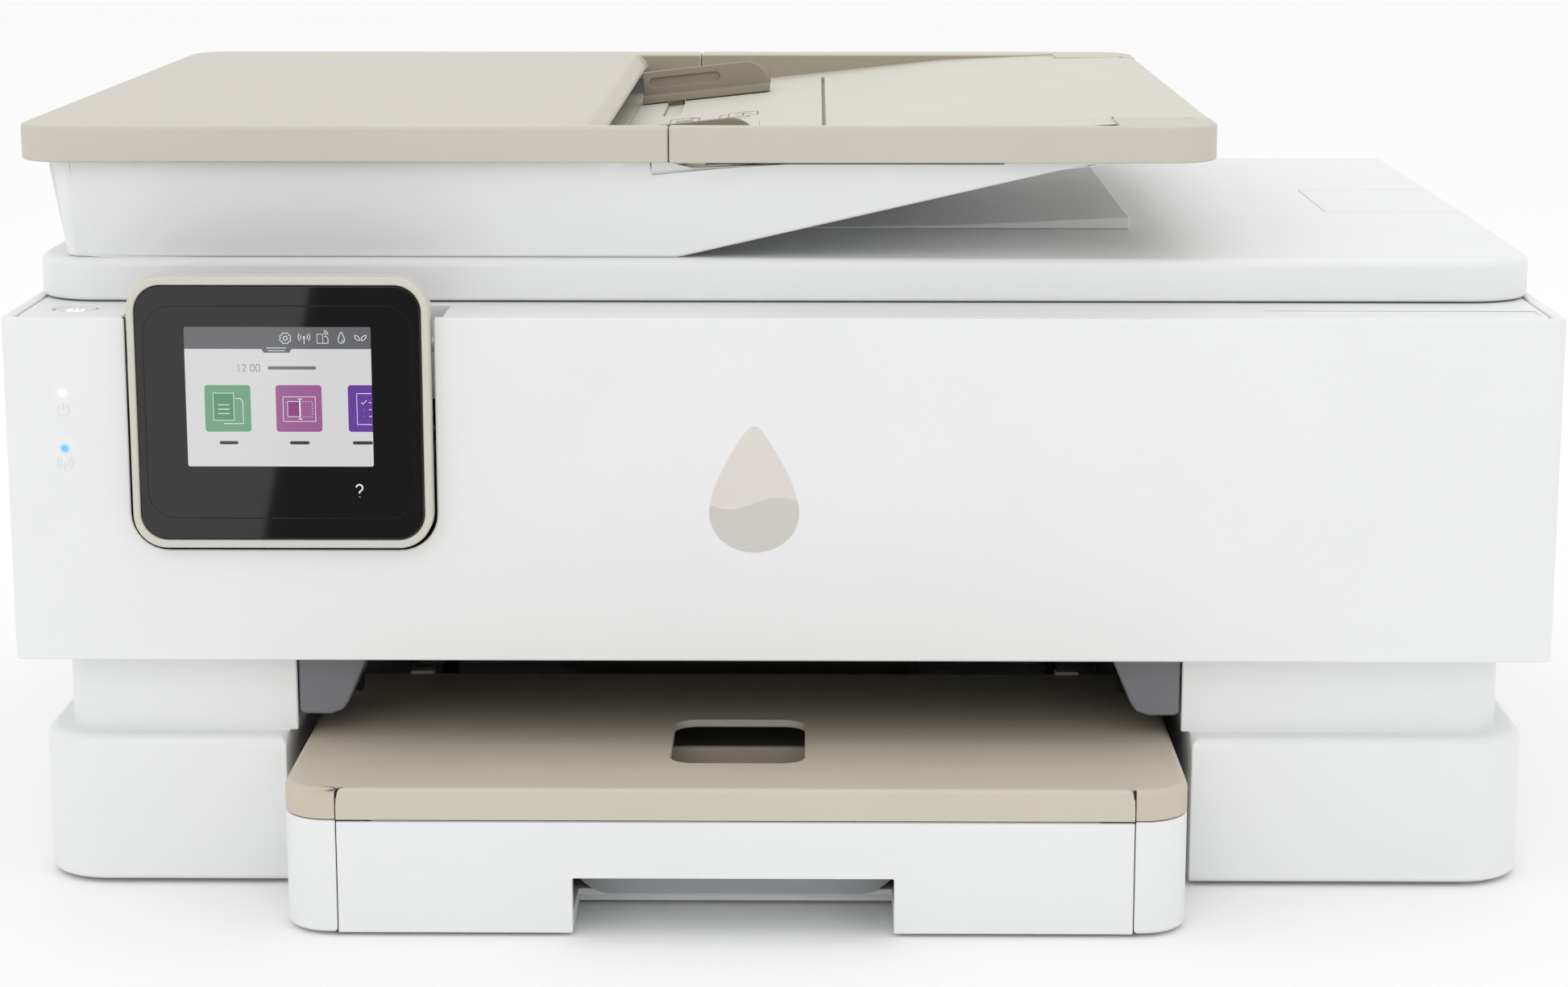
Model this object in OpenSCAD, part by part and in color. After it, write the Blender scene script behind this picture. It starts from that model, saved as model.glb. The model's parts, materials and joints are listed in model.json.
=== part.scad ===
// All-in-one inkjet printer: printer base, lifting scanner unit, lid with a document feeder,
// tilting control panel and a slide-in paper tray. Millimetres, +Z up, front towards -Y,
// origin on the ground under the middle of the printer.

/* [Overall] */
// Width of the printer across its upper housing
body_w = 460; // [390:1:560]
// Depth from the front cover to the back
body_d = 339; // [300:1:410]
// How far the paper tray stands out in front of the front cover
tray_proud = 44; // [30:1:60]

/* [Heights] */
// Height of the rubber feet
foot_h = 1.4; // [1:0.1:4]
// Height of the wide lower part of the base
pod_top = 46.5; // [46:0.5:50]
// Underside of the front cover
cover_low = 71.4; // [70:0.2:78]
// Top of the front cover and of the scanner bed
bed_top = 175; // [170:1:200]
// Thickness of the scanner bed
bed_h = 29; // [26:1:34]
// Thickness of the scanner lid
lid_h = 12.9; // [10:0.1:18]
// Top of the lid to the underside of the document feeder's rim
feeder_gap = 29.8; // [26:0.1:40]
// Height of the document feeder's rim
rim_h = 10.8; // [9:0.1:16]

/* [Walls and steps] */
// Moulded wall of the base and the upper housing
wall = 2.6; // [2:0.1:4]
// Side wall of the upper housing
side_wall = 3.6; // [3:0.1:6]
// Corner radius of the base in plan
base_corner = 20; // [8:1:30]
// Setback of the base from the upper housing at the sides
pod_in = 4; // [2:0.5:8]
// Setback of the neck from the lower base
neck_in = 8; // [4:0.5:14]

/* [Paper tray] */
// Width of the paper tray
tray_w = 263.5; // [240:0.5:300]
// Middle of the paper tray, measured from the middle of the printer
tray_x = -13.2; // [-25:0.1:0]
// Length of the paper tray
tray_l = 309.5; // [290:0.5:320]
// Height of the white tray body
tray_h = 35; // [32:0.5:36]
// Height of the cover band on top of the tray
band_h = 9.5; // [8:0.1:9.8]
// Width of the tray's corner on each side of the pull-out front
front_side = 16.05; // [15:0.05:30]
// Width of the grip notch in the pull-out front
notch_w = 93.3; // [60:0.1:130]
// Height of the grip notch
notch_h = 17.6; // [12:0.1:24]
// Width of the finger opening in the output cover
hole_w = 40; // [25:1:60]
// Plan radius of the tray's front corners
tray_corner = 14; // [8:1:15]
// Depth of the output cover from front to back
cover_d = 133; // [115:1:135]

/* [Document feeder] */
// Right end of the document feeder, from the middle of the printer
feeder_right = 130.3; // [110:1:150]
// Seam between the feeder's cover and its tray
feeder_seam = -34; // [-50:1:-20]
// Left edge of the paper recess
recess_left = -55; // [-75:1:-50]
// Width of the paper recess's front rim
rim_front = 6.5; // [5:0.5:10]
// Width of the paper recess's rear rim
rim_rear = 16; // [10:1:24]

/* [Control panel] */
// Width of the control panel
panel_w = 88.5; // [80:0.5:100]
// Height of the control panel
panel_h = 80.8; // [70:0.2:84]
// Left edge of the control panel, from the left side of the printer
panel_left = 38.3; // [34:0.1:60]
// How far the panel stands out in front of the front cover
panel_proud = 5.5; // [3:0.5:8]
// Radius of the round power button
button_r = 6.6; // [4:0.1:7]

/* [Mechanism] */
// Diameter of the carriage rod
rod_d = 8; // [6:0.5:10]
// Diameter of the feed roller's shaft
shaft_d = 8; // [6:0.5:8.5]
// Teeth on the feed roller's gear
gear_teeth = 60; // [60:4:68]
// Teeth on the motor pinion
pinion_teeth = 15; // [12:1:15]
// Gear module, the pitch diameter per tooth
gear_module = 0.8; // [0.75:0.01:0.82]
// Width of the ink carriage
carriage_w = 60; // [50:1:64]

/* [Fits] */
// Radial clearance of a running shaft
run_gap = 0.05; // [0.02:0.01:0.1]
// Clearance between pieces that move past each other
slide_gap = 0.4; // [0.3:0.05:0.8]
// Gap between the lifting scanner unit and the housing
seam_gap = 0.8; // [0.5:0.1:1.5]

/* [Hidden] */
$fn = 64;
e = 0.01;
front = -(body_d + tray_proud) / 2;
yf = front + tray_proud;
yb = -front;
xr = body_w / 2;
xl = -xr;
// base and neck outlines, as [low, high] pairs
pod_x = [xl + pod_in, xr - pod_in];
pod_y = [yf + pod_in, yb - 1];
neck_x = [pod_x[0] + neck_in, pod_x[1] - neck_in];
neck_y = [pod_y[0] + neck_in, pod_y[1] - 1];
neck_corner = base_corner - neck_in;
// paper tray and the channel it slides in
tray = [tray_x - tray_w / 2, tray_x + tray_w / 2];
tray_y = [front, front + tray_l];
tray_z = foot_h - 0.3;
channel_gap = 5;
channel = [tray[0] - channel_gap, tray[1] + channel_gap];
bay = [tray[0] - 2.5, tray[1] + 2.5];
channel_back = tray_y[1] + 4;
cover_top = tray_h + band_h;
front_x = [tray[0] + front_side, tray[1] - front_side];
front_t = 4;
tray_wall = 2.5;
tray_floor = 2;
// control panel and its opening in the front cover
panel_x = [xl + panel_left, xl + panel_left + panel_w];
panel_top = bed_top + 12.8;
panel_z = [panel_top - panel_h, panel_top];
panel_gap = 1.6;
panel_y = yf - panel_proud;
panel_t = 8;
tilt_y = yf + 7;
tilt_z = bed_top - 9;
tilt_r = 2;
ear_t = 5;
ear_gap = 4.4;
// scanner bed, lid and their hinges
bed_low = bed_top - bed_h;
bed_x = [xl + side_wall + seam_gap, xr - side_wall - seam_gap];
bed_y = [yf + 3 + seam_gap, yb - 6];
lift_y = yb - 11;
lift_z = bed_low + 5;
pin_r = 2.5;
lid_gap = 0.5;
lid_low = bed_top + lid_gap;
lid_top = lid_low + lid_h;
lid_x = [xl + 2, xr - 2];
lid_y = [yf + 31.8, yb - 3];
hinge_y = lid_y[1] - lid_h / 2;
hinge_z = lid_low + lid_h / 2;
hinge_x = [xl + 75, xr - 75];
post_w = 12;
glass_x = [xl + 82, xr - 56];
glass_y = [lid_y[0] + 22, lid_y[0] + 22 + min(218, body_d - 100)];
strip_x = [xl + 38, xl + 60];
glass_t = 2.5;
// document feeder
rim_low = lid_top + feeder_gap;
rim_top = rim_low + rim_h;
feeder_x = [xl + 0.5, feeder_right];
feeder_y = [lid_y[0] - 9.5, lid_y[1] - 0.5];
feeder_corner = 15;
base_x = [feeder_x[0] + 9.5, feeder_seam];
base_y = [feeder_y[0] + 6, feeder_y[1] - 4];
hopper_y = [feeder_y[0] + rim_front, feeder_y[1] - rim_rear];
floor_low = rim_top - 14.4;
floor_rise = 12.1;
floor_mid = 58;
floor_flat = 100;
cover_wall = 2.4;
cover_pin = [feeder_x[0] + 8.5, rim_low + 1.8];
ear_r = 3;
flap_x = [13, feeder_right - 3.6];
flap_y = [hopper_y[0] + 26, hopper_y[1] - 14];
flap_t = 2;
flap_r = 1.7;
flap_pin = [flap_x[1] - flap_r, rim_top - flap_r];
fold_low = 2 * flap_r + 0.5;
guide_z = [floor_low + 0.4, rim_top + 1.4];
guide_x = [recess_left + 1, -7];
// printing mechanism
frame_x = [neck_x[0] + 17, neck_x[1] - 21];
frame_t = 1.6;
frame_y = [yf + 92, yf + 228];
rod_y = yf + 207;
rod_z = 105;
rod_r = rod_d / 2;
shaft_r = shaft_d / 2;
feed_y = yf + 192;
feed_z = 58;
out_y = yf + 95;
out_z = 57;
roll_x = [bay[0] + 26, bay[1] - 26];
gear_r = gear_teeth * gear_module / 2;
pinion_r = pinion_teeth * gear_module / 2;
mesh_gap = 0.25;
pinion_z = feed_z - gear_r - pinion_r - mesh_gap;
gear_t = 6;
belt_y = rod_y + 13;
pulley_r = 6;
pulley_x = [frame_x[0] + 12, frame_x[1] - 12];
carriage_x = [frame_x[1] - 22 - carriage_w, frame_x[1] - 22];
carriage_y = [rod_y - 80, rod_y - 9];
carriage_z = [73, 126];
arm_y = yf + 168;
arm_z = 49;
pick_y = yf + 218;
pick_z = 29;
pick_r = 9;

// power button, status lights and the parts inside the scanner unit
button_x = xl + 18.5;
button_y = yf + 19;
light_x = xl + 17.8;
light_z = [bed_top - 22.4, bed_top - 39.1];
bar_x = [strip_x[0] + 1, strip_x[1] - 1];
bar_y = [glass_y[0] + 2, glass_y[1] - 2];
rail_y = (glass_y[0] + glass_y[1]) / 2;
rail_z = bed_low + wall + 6;
// feeder base, rollers and guides
wing_end = 94.4;
deck = 2.3;
drive_x = recess_left - 58;
drive_z = lid_top + 17;
picker_x = recess_left - 24;
picker_z = floor_low + 3.4;
rear_guide_y = hopper_y[1] - 55;
front_guide_y = hopper_y[0] + 10.6;
// grip, finger opening and paper stops of the tray
notch_x = [tray_x - notch_w / 2 - 0.6, tray_x + notch_w / 2 - 0.6];
hole_y = [front + 28, front + 76];
width_guide_x = [tray[0] + 23.75, tray[1] - 23.75];
// ink cartridges
cartridge_w = (carriage_w - 8) / 2;
cartridge_mid = [carriage_x[0] + 3 + cartridge_w / 2, carriage_x[1] - 3 - cartridge_w / 2];

white = [0.93, 0.93, 0.93];
beige = [0.78, 0.76, 0.70];

// ---- shared shapes ----

// rounded rectangle in plan
module outline(x, y, r) {
    translate([x[0] + r, y[0]]) square([x[1] - x[0] - 2 * r, y[1] - y[0]]);
    translate([x[0], y[0] + r]) square([x[1] - x[0], y[1] - y[0] - 2 * r]);
    for (cx = [x[0] + r, x[1] - r], cy = [y[0] + r, y[1] - r]) translate([cx, cy]) circle(r);
}

// upright prism over a rectangle, with rounded corners where r is given
module block(x, y, z, r = 0) {
    translate([0, 0, z[0]]) linear_extrude(z[1] - z[0])
        if (r > 0) outline(x, y, r);
        else translate([x[0], y[0]]) square([x[1] - x[0], y[1] - y[0]]);
}

// upright prism whose front corners alone are rounded
module front_round(x, y, z, r) {
    block(x, [y[0], y[0] + 2 * r + 1], z, r);
    block(x, [y[0] + r, y[1]], z);
}

// rod along X, from x[0] to x[1]
module rod_x(x, y, z, r) {
    translate([x[0], y, z]) rotate([0, 90, 0]) cylinder(r = r, h = x[1] - x[0]);
}

// rod along Y, from y[0] to y[1]
module rod_y(x, y, z, r) {
    translate([x, y[1], z]) rotate([90, 0, 0]) cylinder(r = r, h = y[1] - y[0]);
}

// outline in X and Z, carried along Y
module profile_y(y, points) {
    translate([0, y[1], 0]) rotate([90, 0, 0]) linear_extrude(y[1] - y[0]) polygon(points);
}

// spur gear along X with straight-sided teeth, one tooth pointing to angle turn
module gear_x(x, y, z, teeth, turn) {
    pitch = teeth * gear_module / 2;
    half = 360 / teeth / 4;
    translate([x, y, z]) rotate([90, 0, 90]) rotate(turn) linear_extrude(gear_t) {
        circle(pitch - gear_module);
        for (k = [0 : teeth - 1]) rotate(k * 360 / teeth)
            polygon([
                [pitch - 1.2 * gear_module, -pitch * sin(half) * 1.15],
                [pitch + 0.8 * gear_module, -pitch * sin(half) * 0.45],
                [pitch + 0.8 * gear_module, pitch * sin(half) * 0.45],
                [pitch - 1.2 * gear_module, pitch * sin(half) * 1.15]]);
    }
}

// height of the hopper floor at a place across the feeder
function hopper_z(x) =
    x < floor_mid ? floor_low + floor_rise * (x - recess_left) / (floor_mid - recess_left)
    : x < floor_flat ? floor_low + floor_rise + 1.9 * (x - floor_mid) / (floor_flat - floor_mid)
    : floor_low + floor_rise + 1.9;

// ---- printer base ----

module base_housing() color(white) {
    low = [foot_h, pod_top];
    difference() {
        union() {
            block(pod_x, pod_y, low, base_corner);
            block(neck_x, neck_y, [pod_top - 1, cover_low + 3], neck_corner);
        }
        block([pod_x[0] + wall, pod_x[1] - wall], [pod_y[0] + wall, pod_y[1] - wall],
            [foot_h + wall, pod_top - wall], base_corner - wall);
        block([neck_x[0] + wall, neck_x[1] - wall], [neck_y[0] + wall, neck_y[1] - wall],
            [pod_top - wall - 1, cover_low + 4], neck_corner - wall);
        block(channel, [yf - 1, channel_back], [0, pod_top + e]);
        block(bay, [yf - 1, neck_y[0] + 60], [pod_top - 2, cover_low + 4]);
        // sockets for the mains and data connectors
        block([xl + 32, xl + 56], [yb - 20, yb], [20, 38]);
        block([xr - 62, xr - 48], [yb - 20, yb], [50, 62]);
    }
    // walls of the tray's channel
    for (x = [channel[0] - wall, channel[1]])
        block([x, x + wall], [pod_y[0] + wall / 2, channel_back], [foot_h, pod_top - 1]);
    block([channel[0] - wall, channel[1] + wall], [channel_back, channel_back + wall],
        [foot_h, pod_top - wall]);
}

module upper_housing() color(white) {
    ear_y = [yf + 2, tilt_y + 5];
    difference() {
        union() {
            difference() {
                block([xl, xr], [yf, yb], [cover_low, bed_top], 3);
                block([xl + side_wall, xr - side_wall], [yf + 3, yb + 1],
                    [cover_low + 3, bed_top + 1]);
                block([neck_x[0] - 0.3, neck_x[1] + 0.3], [neck_y[0] - 0.3, yb + 1],
                    [cover_low - 1, cover_low + 4], neck_corner);
                block([neck_x[0] - 0.3, neck_x[1] + 0.3], [neck_y[0] + 50, yb + 1],
                    [cover_low - 1, cover_low + 4]);
                // opening for the control panel
                block([panel_x[0] - panel_gap, panel_x[1] + panel_gap], [yf - 1, yf + 4],
                    [panel_z[0] - panel_gap, bed_top + 1]);
            }
            // ears that carry the panel's pivot
            for (x = [panel_x[0] - panel_gap - ear_t, panel_x[1] + panel_gap]) {
                rod_x([x, x + ear_t], tilt_y, tilt_z, 5);
                block([x, x + ear_t], [yf + 1, tilt_y], [tilt_z - 5, tilt_z + 5]);
            }
            // bosses for the rear cover's screws
            for (x = [xl + side_wall - 1, xr - side_wall - 13], z = [cover_low + 12, bed_low - 16])
                block([x, x + 14], [yb - 16, yb - 3.4], [z - 5, z + 5]);
        }
        rod_x([panel_x[0] - 20, panel_x[1] + 20], tilt_y, tilt_z, tilt_r + run_gap);
        // steps that let the lid's back corners swing past when the scanner unit lifts
        block([xl - 1, xr + 1], [yb - 7, yb + 1], [bed_top - 3, bed_top + 1]);
        // pockets of the light pipes, thin at the front so that they glow through
        for (z = light_z) rod_y(light_x, [yf + 1.2, yf + 4], z, 2.3);
        for (x = [xl + 10, xr - 10], z = [cover_low + 12, bed_low - 16])
            rod_y(x, [yb - 14, yb], z, 1.45);
    }
}

module rear_cover() color(white) {
    difference() {
        block([xl + side_wall + 0.3, xr - side_wall - 0.3], [yb - 3, yb],
            [cover_low + 3.4, lift_z + 2.5]);
        for (x = [xl + 10, xr - 10], z = [cover_low + 12, bed_low - 16]) {
            rod_y(x, [yb - 4, yb + 1], z, 1.7);
            rod_y(x, [yb - 1.6, yb + 1], z, 3.4);
        }
        // finger recess of the jam-clearing cover
        block([-30, 30], [yb - 1.5, yb + 1], [bed_low - 22, bed_low - 12]);
    }
}

module housing_screws() color("silver")
    for (x = [xl + 10, xr - 10], z = [cover_low + 12, bed_low - 16]) difference() {
        union() {
            rod_y(x, [yb - 11, yb - 1.5], z, 1.4);
            rod_y(x, [yb - 1.6, yb - 0.2], z, 3);
        }
        block([x - 2, x + 2], [yb - 0.7, yb], [z - 0.4, z + 0.4]);
        block([x - 0.4, x + 0.4], [yb - 0.7, yb], [z - 2, z + 2]);
    }

module rubber_feet() color([0.15, 0.15, 0.15])
    for (x = [pod_x[0] + 26, pod_x[1] - 26], y = [pod_y[0] + 26, pod_y[1] - 26])
        translate([x, y, 0]) cylinder(r = 8, h = foot_h);

// grey cheek beside the output bay, its inner lower edge cut off at a slant
module bay_guide(x, side) {
    depth = [neck_y[0] + 1, neck_y[0] + 36];
    low = pod_top + 4.2;
    high = cover_low + 2.4;
    color([0.45, 0.45, 0.47]) profile_y(depth, [
        [x, low], [x + side * 6, low], [x + side * 10.5, low + 8.5],
        [x + side * 18, high], [x, high]]);
}

module left_bay_guide() bay_guide(bay[0] + 0.3, 1);
module right_bay_guide() bay_guide(bay[1] - 0.3, -1);

module bay_liner() color([0.11, 0.11, 0.10]) {
    // black ceiling behind the front cover, with stripper fingers over the paper
    y = [neck_y[0] + 1, out_y - 12];
    block([bay[0] + 19, bay[1] - 19], y, [cover_low - 1, cover_low + 1.5]);
    block([bay[0] + 19, bay[1] - 19], [y[1] - 2, y[1]], [cover_low - 5, cover_low - 1 + e]);
    for (k = [0 : 6]) {
        x = bay[0] + 30 + k * (bay[1] - bay[0] - 60) / 6;
        block([x - 1.5, x + 1.5], [y[1] - 30, y[1] - 1], [cover_low - 6, cover_low - 1 + e]);
    }
}

// ---- printing mechanism ----

module chassis_frame() color("silver") {
    high = 128;
    difference() {
        union() {
            block(frame_x, [frame_y[1], frame_y[1] + frame_t], [62, high]);
            for (x = [frame_x[0], frame_x[1] - frame_t])
                block([x, x + frame_t], [frame_y[0] - 30, frame_y[1] + e], [foot_h + wall, high]);
            // flanges on the base's floor
            for (x = [frame_x[0] - 10, frame_x[1] - e])
                block([x, x + 10], [frame_y[0] - 30, frame_y[1]],
                    [foot_h + wall, foot_h + wall + frame_t]);
        }
        rod_x([frame_x[0] - 1, frame_x[1] + 1], rod_y, rod_z, rod_r);
        rod_x([frame_x[0] - 1, frame_x[1] + 1], feed_y, feed_z, shaft_r + run_gap);
        rod_x([frame_x[0] - 1, frame_x[1] + 1], out_y, out_z, 3 + run_gap);
        rod_x([frame_x[1] - 5, frame_x[1] + 1], feed_y, pinion_z, 4);
        rod_y(pulley_x[1], [frame_y[1] - 1, frame_y[1] + 3], rod_z, 4);
    }
    // pin of the idler pulley
    rod_y(pulley_x[0], [belt_y - 5.5, frame_y[1] + e], rod_z, 1.5);
}

module carriage_rod() color("silver")
    rod_x([frame_x[0] - 3, frame_x[1] + 3], rod_y, rod_z, rod_r);

module platen() color([0.13, 0.13, 0.14]) {
    y = [out_y + 12, feed_y - 9];
    x = [roll_x[0] - 6, carriage_x[0] - 13.95];
    difference() {
        block(x, y, [60, 66]);
        block([x[0] + 2, x[1] - 2], [y[0] + 2, y[1] - 2], [59, 64]);
    }
    for (k = [0 : 16]) {
        rib = x[0] + 4 + k * (x[1] - x[0] - 8) / 16;
        block([rib - 0.6, rib + 0.6], y, [66 - e, 67.5]);
    }
    // brackets that hold the pickup arm's pin
    for (bx = [tray_x - 29, tray_x + 23]) difference() {
        block([bx, bx + 6], [arm_y - 6, arm_y + 6], [arm_z - 6, 65]);
        rod_x([bx - 1, bx + 7], arm_y, arm_z, 2.5 + run_gap);
    }
}

module service_station() color([0.25, 0.26, 0.28]) {
    x = [carriage_x[0] + 2, carriage_x[1] - 2];
    y = [carriage_y[0] + 4, feed_y - 9];
    difference() {
        block(x, y, [pod_top + 1, 66]);
        block([x[0] + 2, x[1] - 2], [y[0] + 2, y[1] - 2], [pod_top + 4, 67]);
    }
    // capping pads and a wiper
    for (cx = cartridge_mid)
        block([cx - 6, cx + 6], [carriage_y[0] + 18, carriage_y[0] + 42], [pod_top + 4 - e, 70.2]);
}

module main_board() color([0.10, 0.35, 0.20]) {
    y = frame_y[1] + frame_t + 8;
    block([-70, 90], [y, y + 1.6], [78, 128]);
    for (k = [0 : 2])
        block([-50 + 45 * k, -30 + 45 * k], [y - 2.5, y + e], [94, 114]);
    for (z = [84, 122], x = [-60, 80])
        rod_y(x, [frame_y[1] + frame_t, y + e], z, 2.5);
}

module power_supply() color([0.18, 0.18, 0.19])
    block([channel[1] + wall + 4, frame_x[1] - frame_t - 15.25], [pod_y[0] + 24, pod_y[0] + 104],
        [foot_h + wall + 0.2, 40], 3);

module power_inlet() color([0.08, 0.08, 0.08]) difference() {
    block([xl + 32.2, xl + 55.8], [yb - 18, yb - 0.4], [20.2, 37.8]);
    for (x = [xl + 40, xl + 48]) rod_y(x, [yb - 14, yb], 29, 4.4);
    block([xl + 40, xl + 48], [yb - 14, yb], [24.6, 33.4]);
}

module usb_port() color("silver") difference() {
    block([xr - 61.8, xr - 48.2], [yb - 19, yb - 1.4], [50.2, 61.8]);
    block([xr - 60.8, xr - 49.2], [yb - 14, yb], [51.2, 60.8]);
}

// light pipes behind the front cover's two indicator spots

module status_lights() color("white") for (z = light_z)
    rod_y(light_x, [yf + 1.3, yf + 3.3], z, 2.2);

module carriage_motor() color("silver") {
    rod_y(pulley_x[1], [frame_y[1] + frame_t, frame_y[1] + 30], rod_z, 12);
    rod_y(pulley_x[1], [belt_y - 5.5, frame_y[1] + frame_t + e], rod_z, 1.5);
}

module feed_motor() color("silver") {
    rod_x([frame_x[1] - frame_t - 26, frame_x[1] - frame_t - 0.1], feed_y, pinion_z, 12);
    rod_x([frame_x[1] - frame_t - 0.2, frame_x[1] + 12], feed_y, pinion_z, 1.5);
}

module motor_pinion() color([0.85, 0.8, 0.6]) difference() {
    gear_x(frame_x[1] + 4, feed_y, pinion_z, pinion_teeth, 90);
    rod_x([frame_x[1], frame_x[1] + 20], feed_y, pinion_z, 1.5 + run_gap);
}

module feed_roller() color([0.3, 0.3, 0.32]) {
    rod_x([frame_x[0] - 4, frame_x[1] + 12], feed_y, feed_z, shaft_r);
    for (k = [0 : 5]) {
        pitch = (roll_x[1] - roll_x[0]) / 6;
        rod_x([roll_x[0] + k * pitch + 3, roll_x[0] + (k + 1) * pitch - 3], feed_y, feed_z, 7);
    }
    gear_x(frame_x[1] + 4, feed_y, feed_z, gear_teeth, -90 + 180 / gear_teeth);
}

module output_roller() color([0.3, 0.3, 0.32]) {
    rod_x([frame_x[0] - 4, frame_x[1] + 4], out_y, out_z, 3);
    for (k = [0 : 7]) {
        x = roll_x[0] + 10 + k * (roll_x[1] - roll_x[0] - 20) / 7;
        rod_x([x - 5, x + 5], out_y, out_z, 6);
    }
}

module pulley(x) color([0.85, 0.8, 0.6]) difference() {
    union() {
        rod_y(x, [belt_y - 3.5, belt_y + 3.5], rod_z, pulley_r);
        for (y = [belt_y - 4.5, belt_y + 3.5 - e]) rod_y(x, [y, y + 1], rod_z, pulley_r + 1.4);
    }
    rod_y(x, [belt_y - 6, belt_y + 6], rod_z, 1.5 + run_gap);
    rod_y(x + 4, [belt_y - 6, belt_y + 6], rod_z, 0.9);
}

module drive_pulley() pulley(pulley_x[1]);
module idler_pulley() pulley(pulley_x[0]);

module carriage_belt() color([0.1, 0.1, 0.1]) {
    inner = pulley_r + 0.1;
    y = [belt_y - 3, belt_y + 3];
    difference() {
        belt_loop(inner + 1, y);
        belt_loop(inner, [y[0] - 1, y[1] + 1]);
    }
}

// racetrack round both pulleys
module belt_loop(r, y) panel_plate([pulley_x[0] - r, pulley_x[1] + r], [rod_z - r, rod_z + r],
    r - 0.1, y);

module ink_carriage() color([0.16, 0.16, 0.17]) difference() {
    union() {
        difference() {
            block(carriage_x, carriage_y, [carriage_z[0], carriage_z[1] - 30]);
            for (cx = cartridge_mid)
                block([cx - cartridge_w / 2 - 0.3, cx + cartridge_w / 2 + 0.3],
                    [carriage_y[0] + 4, carriage_y[1] - 6],
                    [carriage_z[0] - 1, carriage_z[1]]);
        }
        for (cx = cartridge_mid)
            for (s = [-1, 1])
                block([cx + s * (cartridge_w / 2 - 1.7) - 2, cx + s * (cartridge_w / 2 - 1.7) + 2],
                    [carriage_y[0] + 3, carriage_y[1] - 5], [carriage_z[0], carriage_z[0] + 2]);
        block(carriage_x, [carriage_y[1] - 5, carriage_y[1]], [carriage_z[0], carriage_z[1]]);
        block([carriage_x[0] + 4, carriage_x[1] - 4], [carriage_y[1] - e, rod_y + 7],
            [rod_z - 8, rod_z + 8]);
        // clamp under the belt's lower run
        block([carriage_x[0] + 20, carriage_x[1] - 20], [rod_y + 6, belt_y + 2],
            [rod_z - 12, rod_z - pulley_r - 1.5]);
        block([carriage_x[0] + 20, carriage_x[1] - 20], [rod_y + 5, rod_y + 7],
            [rod_z - 12, rod_z]);
    }
    rod_x([carriage_x[0] - 1, carriage_x[1] + 1], rod_y, rod_z, rod_r + run_gap);
}

module cartridge(cx, tint) {
    x = [cx - cartridge_w / 2, cx + cartridge_w / 2];
    y = [carriage_y[0] + 4.3, carriage_y[1] - 6.3];
    color(tint) {
        block(x, y, [carriage_z[0] + 2.2, carriage_z[0] + 38], 1.5);
        block([cx - 6, cx + 6], [y[0] + 14, y[0] + 34], [carriage_z[0] - 1.5, carriage_z[0] + 2.4]);
        block([x[0] + 4, x[1] - 4], [y[0] - 3, y[0] + 1], [carriage_z[0] + 30, carriage_z[0] + 36]);
    }
}

module black_cartridge() cartridge(cartridge_mid[1], [0.12, 0.12, 0.12]);
module colour_cartridge() cartridge(cartridge_mid[0], [0.35, 0.36, 0.38]);

module pickup_arm() color([0.2, 0.2, 0.22]) {
    difference() {
        union() {
            for (x = [tray_x - 18, tray_x + 14]) hull() {
                rod_x([x, x + 4], arm_y, arm_z, 5);
                rod_x([x, x + 4], pick_y, pick_z, 5);
            }
            block([tray_x - 18, tray_x + 18], [arm_y + 18, arm_y + 28], [arm_z - 11, arm_z - 6]);
        }
        rod_x([tray_x - 30, tray_x + 30], pick_y, pick_z, 2 + run_gap);
    }
    rod_x([tray_x - 32, tray_x + 32], arm_y, arm_z, 2.5);
}

module pickup_roller() color([0.25, 0.25, 0.25]) {
    rod_x([tray_x - 19, tray_x + 19], pick_y, pick_z, 2);
    rod_x([tray_x - 13, tray_x + 13], pick_y, pick_z, pick_r);
}

module access_hinges() color([0.3, 0.3, 0.3]) for (x = hinge_x) {
    block([x - 5, x + 5], [lift_y - 4, yb - 3], [lift_z - 26, lift_z - 9.5]);
    block([x - 5, x + 5], [lift_y - 4, lift_y + 4], [lift_z - 10, lift_z]);
    rod_x([x - 5, x + 5], lift_y, lift_z, 4);
    rod_x([x - 13, x + 13], lift_y, lift_z, pin_r);
}

// ---- control panel ----

module panel_frame() color(beige) difference() {
    block(panel_x, [panel_y, panel_y + panel_t], panel_z);
    panel_corners(panel_x, panel_z, 10, [panel_y - 1, panel_y + panel_t + 1]);
    panel_plate([panel_x[0] + 2.2, panel_x[1] - 2.2], [panel_z[0] + 2.4, panel_z[1] - 2.4], 8,
        [panel_y - 1, panel_y + 2.2]);
    block([panel_x[0] + 5, panel_x[1] - 5], [panel_y, panel_y + panel_t + 1],
        [panel_z[0] + 5, panel_z[1] - 5]);
}

// upright plate with rounded corners, seen from the front
module panel_plate(x, z, r, y) {
    translate([0, y[1], 0]) rotate([90, 0, 0]) linear_extrude(y[1] - y[0]) outline(x, z, r);
}

// what rounding the corners of an upright plate takes away
module panel_corners(x, z, r, y) {
    difference() {
        block([x[0] - 1, x[1] + 1], y, [z[0] - 1, z[1] + 1]);
        panel_plate(x, z, r, [y[0] - 1, y[1] + 1]);
    }
}

module panel_glass() color([0.08, 0.08, 0.09])
    panel_plate([panel_x[0] + 2.5, panel_x[1] - 2.5], [panel_z[0] + 2.7, panel_z[1] - 2.7], 7.7,
        [panel_y + 0.4, panel_y + 2.2]);

module panel_display() color([0.85, 0.85, 0.86])
    block([panel_x[0] + 16, panel_x[1] - 16.5], [panel_y + 2.2, panel_y + 4.4],
        [panel_z[0] + 22.8, panel_z[1] - 14]);

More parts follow.
